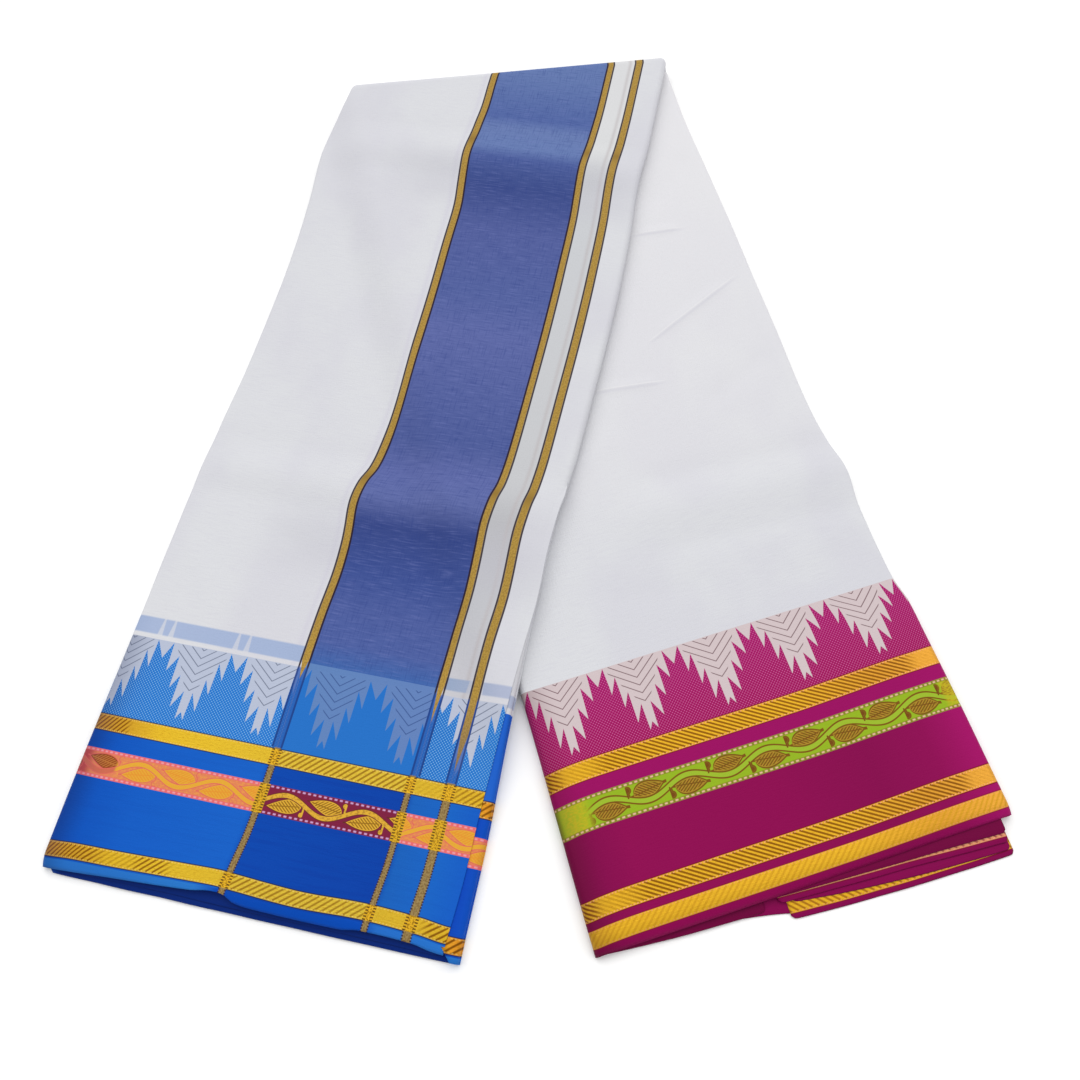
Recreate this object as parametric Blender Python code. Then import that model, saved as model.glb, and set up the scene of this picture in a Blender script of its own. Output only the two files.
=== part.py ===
"""A dhoti laid flat: folded lengthwise into a strip of sixteen plies, then once across into a V.

The cloth is one uncut woven length, with a blue border along one selvedge, a magenta border along
the other and a blue stripe between gold lines near its end. The strip is folded across its middle,
so that the leg that ends in the blue border lies over the leg that ends in the magenta one.

Units are metres and +Z is up. Each leg has two cloth coordinates: across, from the leg's left edge,
and along, from its hem. The underside rests at z = 0.
"""

import math
from collections import namedtuple

import bmesh
import bpy
from mathutils import Vector

MM = 0.001

# Driving sizes of the folded cloth
STRIP_WIDTH = 0.246
LEG_LENGTH = 0.645
LEG_SPREAD = math.radians(14.3)
ORIGIN_BELOW_FOLD = 0.33
CLOTH = 1.0 * MM
GAP = 0.3 * MM
CORE = 7.4 * MM

# The round fold between the legs
BETWEEN_LEGS = CLOTH + 2 * GAP
LIFT = CORE + BETWEEN_LEGS
FOLD_CENTRE = (LIFT + CORE) / 2
INNER_RADIUS = LIFT - FOLD_CENTRE
FOLD_START = -11.3 * MM
FOLD_TILT = 0.032
FOLD_COVER = 0.76

# Where the blue leg comes down from the magenta leg to the floor
RAMP_START = 4 * MM
RAMP_RUN = 36 * MM

# Long edges: the face cloth wraps round them, and the plies beneath show as folds
EDGE_RADIUS = 4.4 * MM
WRAP_DEPTH = 5.3 * MM
EDGE_STEPS = 3
CORE_INSET = 1.6 * MM
CORE_CORNER = 2.6 * MM
PLY_FOLDS = 4
PLY_GROOVE = 0.7 * MM

# Hems: the face cloth droops past the end of the hidden plies
HEM_OVERHANG = 8 * MM
HEM_DROOP = 2.2 * MM

# Bands of the woven borders, measured from the hem
BLUE_BANDS = (5.5, 14.3, 50.0, 67.6, 77.5, 87.6, 136.6)
MAGENTA_BANDS = (3.0, 11.2, 17.6, 26.4, 62.1, 79.7, 89.6, 99.7, 148.7)
STRIPE = (115.8, 203.0, 224.5)

# How far each leg's long edges and middle stray from a straight strip, in mm, along from the hem
Drift = namedtuple("Drift", "along left middle right plies_right")
BLUE_LEG_DRIFT = (
    Drift(0, -5.2, -10.0, -9.0, 1.5),
    Drift(20, -5.0, -8.0, -7.6, 1.7),
    Drift(40, -4.8, -5.5, -6.5, 1.8),
    Drift(80, -4.0, -3.8, -5.7, 2.0),
    Drift(140, -2.5, -2.2, -2.6, 1.6),
    Drift(175, -0.8, -0.8, -0.8, 1.6),
    Drift(205, 0.4, 1.4, 1.2, 1.8),
    Drift(235, 0.9, 0.9, 1.1, 2.2),
    Drift(255, 1.3, -1.2, 1.6, 2.2),
    Drift(268, 2.0, 0.0, 2.4, 2.4),
    Drift(280, 2.8, 4.2, 4.3, 4.3),
    Drift(300, 4.0, 7.2, 6.6, 6.6),
    Drift(340, 7.2, 9.2, 8.6, 8.6),
    Drift(400, 9.2, 9.6, 10.9, 10.9),
    Drift(450, 8.8, 9.8, 12.0, 12.0),
    Drift(500, 6.4, 9.6, 11.6, 11.6),
    Drift(535, 3.6, 6.8, 9.9, 9.9),
    Drift(555, 3.8, 6.0, 9.9, 9.9),
    Drift(580, 7.0, 8.4, 11.2, 11.2),
    Drift(602, 10.4, 10.6, 11.4, 11.4),
    Drift(622, 12.2, 11.4, 11.4, 11.4),
    Drift(700, 12.2, 11.4, 11.4, 11.4),
)
MAGENTA_LEG_DRIFT = (
    Drift(0, -8.0, -4.0, 0.0, 0.0),
    Drift(60, -7.0, -3.4, 0.2, 0.2),
    Drift(110, -6.0, -3.2, -0.4, -0.4),
    Drift(134, -5.4, -3.2, -0.9, -0.9),
    Drift(150, -5.0, -4.4, -4.0, -4.0),
    Drift(180, -4.6, -4.6, -4.7, -4.7),
    Drift(205, -4.2, -4.0, -3.6, -3.6),
    Drift(228, -3.8, -2.4, -1.2, -1.2),
    Drift(250, -3.4, -3.6, -3.6, -3.6),
    Drift(270, -3.0, -4.0, -5.2, -5.2),
    Drift(300, -2.2, -3.4, -4.5, -4.5),
    Drift(345, -0.8, -1.2, -1.6, -1.6),
    Drift(390, 0.8, 0.6, 0.4, 0.4),
    Drift(440, 2.6, 2.8, 3.0, 3.0),
    Drift(500, 5.0, 5.0, 5.0, 5.0),
    Drift(550, 7.0, 6.6, 6.4, 6.4),
    Drift(590, 9.4, 9.4, 9.6, 9.6),
    Drift(615, 11.4, 11.2, 11.4, 11.4),
    Drift(700, 11.4, 11.2, 11.4, 11.4),
)

# Where each face cloth's hem lies, in mm, across from the left edge
Hem = namedtuple("Hem", "across along")
BLUE_HEM = (
    Hem(0, -0.5),
    Hem(50, 2.4),
    Hem(104, 5.2),
    Hem(116, 3.2),
    Hem(190, 2.2),
    Hem(246, 0.9),
)
MAGENTA_HEM = (
    Hem(0, 0.2),
    Hem(90, 0.2),
    Hem(160, 1.2),
    Hem(246, 1.8),
)

# The cross creases of an earlier fold, which stay in the cloth as low ridges, in mm
Ridge = namedtuple("Ridge", "along rise run slant flat_until")
BLUE_RIDGES = (
    Ridge(262, 0.9, 22, 0.02, -200),
    Ridge(545, 0.8, 24, 0.03, -200),
)
MAGENTA_RIDGES = (Ridge(228, 0.8, 26, 0.05, 75),)
RIDGE_GROWTH = 60 * MM

# Strips of the lower plies that stick out past a hem: start and end across, how far past the hem
# at each end and halfway, and the height of the strip's top at its root and at its tip, in mm
Ply = namedtuple("Ply", "name leg start end past past_mid past_end root_top tip_top wall")
LOWER_PLIES = (
    Ply("blue_under_ply", "blue", 1.6, 246.5, 4.0, 4.3, 3.9, 5.0, 2.1, 1.6),
    Ply("magenta_under_ply", "magenta", 1.6, 96.0, 1.6, 5.4, 7.4, 5.0, 2.2, 1.6),
    Ply("magenta_second_ply", "magenta", 104.0, 236.0, 3.0, 6.2, 9.6, 5.2, 3.0, 1.2),
    Ply("magenta_third_ply", "magenta", 108.0, 233.0, 15.6, 19.0, 19.6, 1.5, 1.3, 1.2),
)
PLY_SECTIONS = 12
ROOT_SETBACK = 0.5 * MM

Leg = namedtuple("Leg", "side drift hem ridges lifted bands")
BLUE_LEG = Leg(-1, BLUE_LEG_DRIFT, BLUE_HEM, BLUE_RIDGES, True, BLUE_BANDS)
MAGENTA_LEG = Leg(1, MAGENTA_LEG_DRIFT, MAGENTA_HEM, MAGENTA_RIDGES, False, MAGENTA_BANDS)
LEGS = {"blue": BLUE_LEG, "magenta": MAGENTA_LEG}

# How finely the cloth is divided
COLUMNS_OUTSIDE_STRIPE = 6
COLUMNS_IN_STRIPE = 4
BODY_SECTIONS = {"blue": 24, "magenta": 15}
FOLD_SECTIONS = 7

MATERIALS = {
    "white_cotton": ((0.74, 0.73, 0.77), 0.85, 0.0),
    "blue_border": ((0.01, 0.16, 0.72), 0.6, 0.0),
    "blue_stripe": ((0.08, 0.11, 0.42), 0.7, 0.0),
    "magenta_border": ((0.29, 0.005, 0.1), 0.6, 0.0),
    "gold_zari": ((0.7, 0.42, 0.03), 0.4, 0.5),
}
WHITE, BLUE, STRIPE_BLUE, MAGENTA, GOLD = range(len(MATERIALS))


def mix(a, b, share):
    return a + (b - a) * share


def smooth(share):
    share = min(max(share, 0.0), 1.0)
    return share * share * (3 - 2 * share)


def read_table(rows, place, value, at):
    """A smooth curve through one column of a table, read at a place in another."""
    places = [getattr(row, place) for row in rows]
    values = [getattr(row, value) for row in rows]
    at = min(max(at, places[0]), places[-1])
    i = next(k for k in range(len(rows) - 1) if at <= places[k + 1])

    def slope(k):
        if k in (0, len(rows) - 1):
            return 0.0
        return (values[k + 1] - values[k - 1]) / (places[k + 1] - places[k - 1])

    span = places[i + 1] - places[i]
    u = (at - places[i]) / span
    return (
        values[i] * (1 + 2 * u) * (1 - u) ** 2
        + values[i + 1] * u * u * (3 - 2 * u)
        + slope(i) * span * u * (1 - u) ** 2
        - slope(i + 1) * span * u * u * (1 - u)
    )


def drift(leg, across, along, right="right"):
    """The sideways stray of a point of a leg, a parabola through its left, middle and right."""
    left, middle, end = (
        read_table(leg.drift, "along", column, along / MM) for column in ("left", "middle", right)
    )
    v = across / STRIP_WIDTH
    bow = left * (1 - v) * (1 - 2 * v) + middle * 4 * v * (1 - v) + end * v * (2 * v - 1)
    return bow * MM


def ground(leg, across, along, right="right"):
    """Where a point of a leg lies in plan."""
    off_centre = across - STRIP_WIDTH / 2 + drift(leg, across, along, right)
    run = LEG_LENGTH - along
    x = leg.side * math.sin(LEG_SPREAD) * run + math.cos(LEG_SPREAD) * off_centre
    y = -math.cos(LEG_SPREAD) * run + leg.side * math.sin(LEG_SPREAD) * off_centre
    return x, y


def reach_to_fold(leg, across):
    """How far along a leg the round fold starts, on a line a little askew to the middle of the V."""
    off_centre = across - STRIP_WIDTH / 2 + drift(leg, across, LEG_LENGTH)
    sideways = leg.side * math.sin(LEG_SPREAD)
    over = off_centre * (sideways - FOLD_TILT * math.cos(LEG_SPREAD)) - FOLD_START
    return LEG_LENGTH - over / (math.cos(LEG_SPREAD) + FOLD_TILT * sideways)


def outside_magenta_leg(x, y):
    """The distance of a point from the magenta leg's left edge, positive where that leg isn't."""
    down = (math.sin(LEG_SPREAD), -math.cos(LEG_SPREAD))
    over = (math.cos(LEG_SPREAD), math.sin(LEG_SPREAD))
    along = LEG_LENGTH - (x * down[0] + y * down[1])
    stray = read_table(MAGENTA_LEG_DRIFT, "along", "left", max(along, 0.0) / MM) * MM
    return -(x * over[0] + y * over[1]) - STRIP_WIDTH / 2 + stray


def floor_of(leg, x, y):
    """The height that a leg's underside rests at."""
    if not leg.lifted:
        return 0.0
    return LIFT * (1 - smooth((outside_magenta_leg(x, y) - RAMP_START) / RAMP_RUN))


def ridge_rise(leg, across, along):
    """The soft rise left by the creases of an earlier fold."""
    rise = 0.0
    for ridge in leg.ridges:
        off = (along - ridge.along * MM - ridge.slant * across) / (ridge.run * MM)
        grown = smooth((across - ridge.flat_until * MM) / RIDGE_GROWTH)
        rise += grown * ridge.rise * MM * math.exp(-off * off * 2)
    return rise


def on_leg(leg, across, along, height, right="right", riding=0.0):
    """A point at a height over a leg's underside. A riding of 1 lifts it with the ridges."""
    x, y = ground(leg, across, along, right)
    rise = riding * ridge_rise(leg, across, along)
    return Vector((x, y + ORIGIN_BELOW_FOLD, floor_of(leg, x, y) + height + rise))


def on_fold(across, turn, height):
    """A point on the round fold. Turn runs from 0, on the blue leg, to 1, on the magenta leg."""
    start, end = (ground(leg, across, reach_to_fold(leg, across)) for leg in LEGS.values())
    radius = INNER_RADIUS + height
    out = radius * math.sin(math.pi * turn)
    x = mix(start[0], end[0], turn) - FOLD_TILT * out
    y = mix(start[1], end[1], turn) + ORIGIN_BELOW_FOLD + out
    return Vector((x, y, FOLD_CENTRE + radius * math.cos(math.pi * turn)))


def columns():
    """Places across a leg, with one on each edge of the blue stripe and its gold lines."""
    edges = [EDGE_RADIUS, STRIPE[0] * MM, STRIPE[1] * MM, STRIPE[2] * MM]
    edges.append(STRIP_WIDTH - EDGE_RADIUS)
    counts = (COLUMNS_OUTSIDE_STRIPE, COLUMNS_IN_STRIPE, 1, 1)
    places = [edges[0]]
    for low, high, count in zip(edges, edges[1:], counts):
        places += [mix(low, high, (k + 1) / count) for k in range(count)]
    return places


def leg_places(name):
    """Places along a leg as shares of its length at the middle: each border band, then the body."""
    leg = LEGS[name]
    whole = reach_to_fold(leg, STRIP_WIDTH / 2)
    bands = [band * MM / whole for band in leg.bands]
    start = HEM_OVERHANG / whole
    places = [0.0, start] + [band for band in bands if band > 1.3 * start]
    last = places[-1]
    count = BODY_SECTIONS[name]
    places += [mix(last, 1.0, (k + 1) / count) for k in range(count)]
    return places


def hem_along(leg, across):
    return read_table(leg.hem, "across", "along", across / MM) * MM


def cloth_section(wrap_right):
    """The face cloth's cut across a leg, outer points then inner ones, as (across, height)."""
    top = CORE + GAP + CLOTH
    outer, inner = [(0.0, top - WRAP_DEPTH)], [(CLOTH, top - WRAP_DEPTH)]
    for k in range(EDGE_STEPS + 1):
        angle = math.pi / 2 * k / EDGE_STEPS
        for points, radius in ((outer, EDGE_RADIUS), (inner, EDGE_RADIUS - CLOTH)):
            aside = EDGE_RADIUS - radius * math.cos(angle)
            points.append((aside, top - EDGE_RADIUS + radius * math.sin(angle)))
    left_outer, left_inner = outer[:-1], inner[:-1]
    middle = columns()
    count = len(left_outer)
    right_outer, right_inner = [], []
    for k in range(count):
        flat = STRIP_WIDTH - EDGE_RADIUS * k / count
        side, up = left_outer[k]
        right_outer.append((mix(flat, STRIP_WIDTH - side, wrap_right), mix(top, up, wrap_right)))
        side, up = left_inner[k]
        right_inner.append(
            (mix(flat, STRIP_WIDTH - side, wrap_right), mix(top - CLOTH, up, wrap_right))
        )
    outer = left_outer + [(a, top) for a in middle] + right_outer[::-1]
    inner = left_inner + [(a, top - CLOTH) for a in middle] + right_inner[::-1]
    return outer + inner[::-1]


def core_section():
    """The hidden plies' cut across a leg: flat above and below, with a fold of each ply beside."""
    side = []
    fold = CORE / PLY_FOLDS
    for k in range(PLY_FOLDS):
        for share, groove in ((0.0, 1.0), (0.3, 0.15), (0.7, 0.15)):
            side.append((CORE - fold * (k + share), PLY_GROOVE * groove))
    side = side[1:]
    insets = []
    for height, groove in side:
        from_corner = min(height, CORE - height)
        corner = 0.0
        if from_corner < CORE_CORNER:
            short = CORE_CORNER - from_corner
            corner = CORE_CORNER - math.sqrt(CORE_CORNER**2 - short**2)
        insets.append((CORE_INSET + max(groove, corner), height))
    middle = columns()
    ring = [(a, CORE) for a in middle]
    ring += [(STRIP_WIDTH - inset, height) for inset, height in insets]
    ring += [(a, 0.0) for a in reversed(middle)]
    ring += [(inset, height) for inset, height in reversed(insets)]
    return ring


def border_of(name, along):
    """The material of a border at a distance from the hem."""
    bands = [band * MM for band in LEGS[name].bands]
    if along > bands[-1]:
        return WHITE
    golds = ((0, 1), (4, 5)) if name == "blue" else ((0, 1), (2, 3), (4, 5), (6, 7))
    if any(bands[low] < along < bands[high] for low, high in golds):
        return GOLD
    return BLUE if name == "blue" else MAGENTA


def paint(name, striped):
    """A function from a place on a leg's cloth to its material."""

    def material_at(across, along):
        border = border_of(name, along)
        in_stripe = STRIPE[0] * MM < across < STRIPE[1] * MM
        if striped and border == WHITE and in_stripe:
            return STRIPE_BLUE
        return border

    return material_at


def make_mesh_object(name, rings, cap, materials, painted=None):
    """A closed solid through rings of points. The cap is strip, for a sheet, or face."""
    mesh = bmesh.new()
    vertices = [[mesh.verts.new(point) for point in ring] for ring in rings]
    count = len(rings[0])
    for i in range(len(rings) - 1):
        for k in range(count):
            n = (k + 1) % count
            a, b, c, d = vertices[i][k], vertices[i][n], vertices[i + 1][n], vertices[i + 1][k]
            # The diagonals run the same way on both sides of a wall, so that no layers cross.
            first_half = k < count // 2
            corners = ((a, b, d), (b, c, d)) if first_half else ((a, b, c), (a, c, d))
            for face in [mesh.faces.new(corner) for corner in corners]:
                face.smooth = True
                face.material_index = painted(i, k) if painted else 0
    for ring, flip in ((vertices[0], True), (vertices[-1], False)):
        if cap == "face":
            mesh.faces.new(ring[::-1] if flip else ring)
            continue
        for k in range(count // 2 - 1):
            quad = (ring[k], ring[k + 1], ring[count - 2 - k], ring[count - 1 - k])
            mesh.faces.new(quad[::-1] if flip else quad)
    bmesh.ops.recalc_face_normals(mesh, faces=mesh.faces)
    data = bpy.data.meshes.new(name)
    mesh.to_mesh(data)
    mesh.free()
    for material in materials:
        data.materials.append(bpy.data.materials[material])
    data.set_sharp_from_angle(angle=math.radians(40))
    made = bpy.data.objects.new(name, data)
    bpy.context.scene.collection.objects.link(made)
    return made


def add_materials():
    for name, (colour, roughness, metallic) in MATERIALS.items():
        material = bpy.data.materials.new(name)
        material.use_nodes = True
        shader = material.node_tree.nodes["Principled BSDF"]
        shader.inputs["Base Color"].default_value = (*colour, 1.0)
        shader.inputs["Roughness"].default_value = roughness
        shader.inputs["Metallic"].default_value = metallic
        material.diffuse_color = (*colour, 1.0)


def droop(share_out):
    return HEM_DROOP * share_out * share_out


def cloth_rings(name, wraps):
    """Rings of a leg's face cloth from its hem to the round fold, and each ring's place along."""
    leg = LEGS[name]
    rings, alongs = [], []
    for share in leg_places(name):
        whole = reach_to_fold(leg, STRIP_WIDTH / 2)
        ring = []
        for across, height in cloth_section(wraps(share * whole)):
            along = reach_to_fold(leg, across) * share if share else hem_along(leg, across)
            out = max(0.0, 1 - along / HEM_OVERHANG)
            ring.append(on_leg(leg, across, along, height - droop(out), riding=1.0))
        rings.append(ring)
        alongs.append(share * whole)
    return rings, alongs


def blue_end_face():
    """The face cloth of the blue leg, down over its left edge and round the fold."""
    free_until, wrapped_from = 0.262, 0.292

    def wraps(along):
        return smooth((along - free_until) / (wrapped_from - free_until))

    rings, alongs = cloth_rings("blue", wraps)
    section = cloth_section(1.0)
    for k in range(1, FOLD_SECTIONS + 1):
        turn = FOLD_COVER * k / FOLD_SECTIONS
        rings.append([on_fold(across, turn, height) for across, height in section])
        alongs.append(alongs[-1] + CLOTH)
    colour = paint("blue", True)

    def painted(i, k):
        return colour(section[k][0], (alongs[i] + alongs[i + 1]) / 2)

    return make_mesh_object("blue_end_face", rings, "strip", MATERIALS, painted)


def magenta_end_face():
    """The face cloth of the magenta leg, tucked up between the legs."""
    rings, alongs = cloth_rings("magenta", lambda along: 1.0)
    section = cloth_section(1.0)
    colour = paint("magenta", False)

    def painted(i, k):
        return colour(section[k][0], (alongs[i] + alongs[i + 1]) / 2)

    return make_mesh_object("magenta_end_face", rings, "strip", MATERIALS, painted)


def hidden_layers():
    """All the plies inside as one solid, from the blue hem, round the fold, to the magenta hem."""
    section = core_section()
    rings, marks = [], []

    def right_of(across):
        return "plies_right" if across > STRIP_WIDTH - EDGE_RADIUS else "right"

    for share in leg_places("blue")[1:]:
        ring = []
        for across, height in section:
            right = right_of(across)
            riding = height / CORE
            along = reach_to_fold(BLUE_LEG, across) * share if share > 0.02 else HEM_OVERHANG
            ring.append(on_leg(BLUE_LEG, across, along, height, right, riding))
        rings.append(ring)
        marks.append(("blue", share * LEG_LENGTH))
    for k in range(1, FOLD_SECTIONS + 1):
        turn = k / (FOLD_SECTIONS + 1)
        rings.append([on_fold(across, turn, height) for across, height in section])
        marks.append(("blue", LEG_LENGTH))
    for share in reversed(leg_places("magenta")[1:]):
        ring = []
        for across, height in section:
            riding = 1 - height / CORE
            along = reach_to_fold(MAGENTA_LEG, across) * share if share > 0.02 else HEM_OVERHANG
            ring.append(on_leg(MAGENTA_LEG, across, along, CORE - height, "right", riding))
        rings.append(ring)
        marks.append(("magenta", share * LEG_LENGTH))

    def painted(i, k):
        name, along = marks[i + 1]
        return border_of(name, (along + marks[i][1]) / 2)

    return make_mesh_object("hidden_layers", rings, "face", MATERIALS, painted)


def lower_ply(ply):
    """A strip of a lower ply, from the end of the hidden plies to its own hem."""
    leg = LEGS[ply.leg]
    rings = []
    for k in range(PLY_SECTIONS + 1):
        share = k / PLY_SECTIONS
        across = mix(ply.start, ply.end, share) * MM
        bend = 4 * share * (1 - share)
        straight = mix(ply.past, ply.past_end, share)
        bulge = ply.past_mid - (ply.past + ply.past_end) / 2
        tip = -(straight + bulge * bend) * MM
        root = HEM_OVERHANG - ROOT_SETBACK
        lip = min(1.2 * MM, ply.wall * MM)
        profile = [
            (root, ply.root_top),
            (mix(root, tip, 0.5), mix(ply.root_top, ply.tip_top, 0.45)),
            (tip + lip, ply.tip_top),
            (tip, ply.tip_top - ply.wall * 0.35),
            (tip, ply.tip_top - ply.wall * 0.75),
            (tip + lip, ply.tip_top - ply.wall),
            (mix(root, tip, 0.5), mix(ply.root_top, ply.tip_top, 0.45) - ply.wall),
            (root, ply.root_top - ply.wall),
        ]
        right = "plies_right"
        ring = [
            on_leg(leg, across, along, max(height, 0.0) * MM, right) for along, height in profile
        ]
        rings.append(ring)
    colour = "blue_border" if ply.leg == "blue" else "magenta_border"
    return make_mesh_object(ply.name, rings, "face", [colour])


def main():
    for old in list(bpy.data.objects):
        bpy.data.objects.remove(old, do_unlink=True)
    add_materials()
    stand = bpy.data.objects.new("dhoti", None)
    bpy.context.scene.collection.objects.link(stand)
    made = [hidden_layers(), magenta_end_face(), blue_end_face()]
    made += [lower_ply(ply) for ply in LOWER_PLIES]
    for piece in made:
        piece.parent = stand


main()
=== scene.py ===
# %% [markdown]
# A dhoti is one long woven cloth, with no cut or seam. This one is folded lengthwise into a strip,
# then once across, so that its two ends lie in a V: the blue border over the magenta border.
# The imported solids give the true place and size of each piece. Here each solid gets its finer
# cloth and its weave. Loading the frame first means that nothing has to be fitted afterwards.

# %% Load the frame
import math
from collections import namedtuple

import bmesh
import bpy
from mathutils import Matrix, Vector, noise


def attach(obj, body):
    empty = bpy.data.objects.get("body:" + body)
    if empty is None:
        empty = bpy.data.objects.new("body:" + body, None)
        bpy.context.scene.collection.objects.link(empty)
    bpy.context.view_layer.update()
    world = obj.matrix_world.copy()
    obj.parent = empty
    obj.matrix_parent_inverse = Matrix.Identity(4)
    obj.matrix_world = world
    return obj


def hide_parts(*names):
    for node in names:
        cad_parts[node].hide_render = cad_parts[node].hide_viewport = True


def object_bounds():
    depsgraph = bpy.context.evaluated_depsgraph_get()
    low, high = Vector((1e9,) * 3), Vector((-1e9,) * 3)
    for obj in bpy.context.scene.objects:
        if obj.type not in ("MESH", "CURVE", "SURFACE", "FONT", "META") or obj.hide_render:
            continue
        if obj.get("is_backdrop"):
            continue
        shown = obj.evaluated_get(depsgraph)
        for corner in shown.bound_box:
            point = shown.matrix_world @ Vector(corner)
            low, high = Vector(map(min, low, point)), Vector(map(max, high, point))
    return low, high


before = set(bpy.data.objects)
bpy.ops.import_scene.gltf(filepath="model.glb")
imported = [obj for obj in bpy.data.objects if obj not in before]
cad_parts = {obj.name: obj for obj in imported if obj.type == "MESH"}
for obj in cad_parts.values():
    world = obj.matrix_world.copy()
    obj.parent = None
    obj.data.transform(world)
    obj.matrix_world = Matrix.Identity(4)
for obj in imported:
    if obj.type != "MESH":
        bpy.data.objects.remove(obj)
box_of_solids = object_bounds()
print("solids", sorted(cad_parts))

# %% [markdown]
# The photo looks down on the cloth from above its hems, a little askew. A camera could be placed by
# eye, but here its place and turn were worked out from the cloth's corners, whose sizes are known.

# %% Camera
CAMERA_AT = (0.0248, -0.3082, 0.5532)
CAMERA_TURN_DEGREES = (22.435, 2.087, -2.758)
CAMERA_LENS = 30.51
SENSOR_WIDTH = 36

camera_data = bpy.data.cameras.new("camera")
camera_data.lens = CAMERA_LENS
camera_data.sensor_width = SENSOR_WIDTH
camera = bpy.data.objects.new("camera", camera_data)
camera.location = CAMERA_AT
camera.rotation_euler = [math.radians(turn) for turn in CAMERA_TURN_DEGREES]
bpy.context.scene.collection.objects.link(camera)
bpy.context.scene.camera = camera
print("camera lens", CAMERA_LENS, "mm")

# %% [markdown]
# A shop photo like this has a white sheet below. It could be a curved sweep of paper, but the camera
# sees only the part that lies flat, so a pale plane is enough. Two small helpers put things into the
# scene, and later cells use them again.

# %% Floor
FLOOR_SIZE = 6.0
FLOOR_WHITE = (0.97, 0.97, 0.965, 1)
FLOOR_ROUGHNESS = 0.9


def plain_material(name, colour, roughness):
    """A material with one colour, for what is not cloth."""
    material = bpy.data.materials.new(name)
    material.use_nodes = True
    shader = material.node_tree.nodes["Principled BSDF"]
    shader.inputs["Base Color"].default_value = colour
    shader.inputs["Roughness"].default_value = roughness
    return material


def add_object(name, data):
    """Puts a mesh, a light or a camera into the scene."""
    added = bpy.data.objects.new(name, data)
    bpy.context.scene.collection.objects.link(added)
    return added


def object_from(mesh, name):
    """Turns a finished bmesh into an object in the scene."""
    data = bpy.data.meshes.new(name)
    mesh.to_mesh(data)
    mesh.free()
    return add_object(name, data)


floor_mesh = bmesh.new()
bmesh.ops.create_grid(floor_mesh, x_segments=1, y_segments=1, size=FLOOR_SIZE / 2)
floor = object_from(floor_mesh, "floor")
floor.data.materials.append(plain_material("white_sheet", FLOOR_WHITE, FLOOR_ROUGHNESS))
floor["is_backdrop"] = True
print("floor", FLOOR_SIZE, "m wide")

# %% [markdown]
# The lamps of the photo are large and soft, so shadows are faint. A bright sky does most of that. Two
# suns as wide as a window shine in from behind, one at each side, because without a side to the
# light the folds would not show, and a sun lights both ends of the cloth alike, which a lamp near by
# does not. The Standard view keeps colours plain.

# %% Light
SKY_WHITE = (1, 1, 1, 1)
SKY_STRENGTH = 0.62
Window = namedtuple("Window", "name direction width_degrees strength")
WINDOWS = (
    Window("left_window", (-0.55, 0.7, 1.2), 60, 1.05),
    Window("right_window", (0.65, 0.5, 1.2), 60, 0.94),
)


def add_sun(window):
    data = bpy.data.lights.new(window.name, "SUN")
    data.angle = math.radians(window.width_degrees)
    data.energy = window.strength
    sun = add_object(window.name, data)
    sun.location = window.direction
    sun.rotation_euler = (-Vector(window.direction)).to_track_quat("-Z", "Y").to_euler()


for window in WINDOWS:
    add_sun(window)
sky = bpy.data.worlds.new("sky")
sky.use_nodes = True
sky.node_tree.nodes["Background"].inputs["Color"].default_value = SKY_WHITE
sky.node_tree.nodes["Background"].inputs["Strength"].default_value = SKY_STRENGTH
bpy.context.scene.world = sky
bpy.context.scene.view_settings.view_transform = "Standard"
print("windows", len(WINDOWS))

# %% [markdown]
# The folded strip has a few driving sizes: its width, the length of each leg of the V, and the
# thickness of the plies. Everything else is placed by two measures on a leg, as a weaver would:
# across, from the leg's left edge, and along, from its hem. They are the solids' own sizes again.

# %% Sizes of the folded strip
MM = 0.001
STRIP_WIDTH = 0.246
LEG_LENGTH = 0.645
LEG_SPREAD = math.radians(14.3)
ORIGIN_BELOW_FOLD = 0.33
PLIES = 7.4 * MM
TOP = 8.7 * MM
BETWEEN_LEGS = 1.6 * MM
LIFT = PLIES + BETWEEN_LEGS
FOLD_CENTRE = (LIFT + PLIES) / 2
INNER_RADIUS = LIFT - FOLD_CENTRE
FOLD_START = -11.3 * MM
FOLD_TILT = 0.032
RAMP_START = 4 * MM
RAMP_RUN = 36 * MM
HEM_OVERHANG = 8 * MM
print("strip", STRIP_WIDTH, "m wide,", LEG_LENGTH, "m to the fold")
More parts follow.
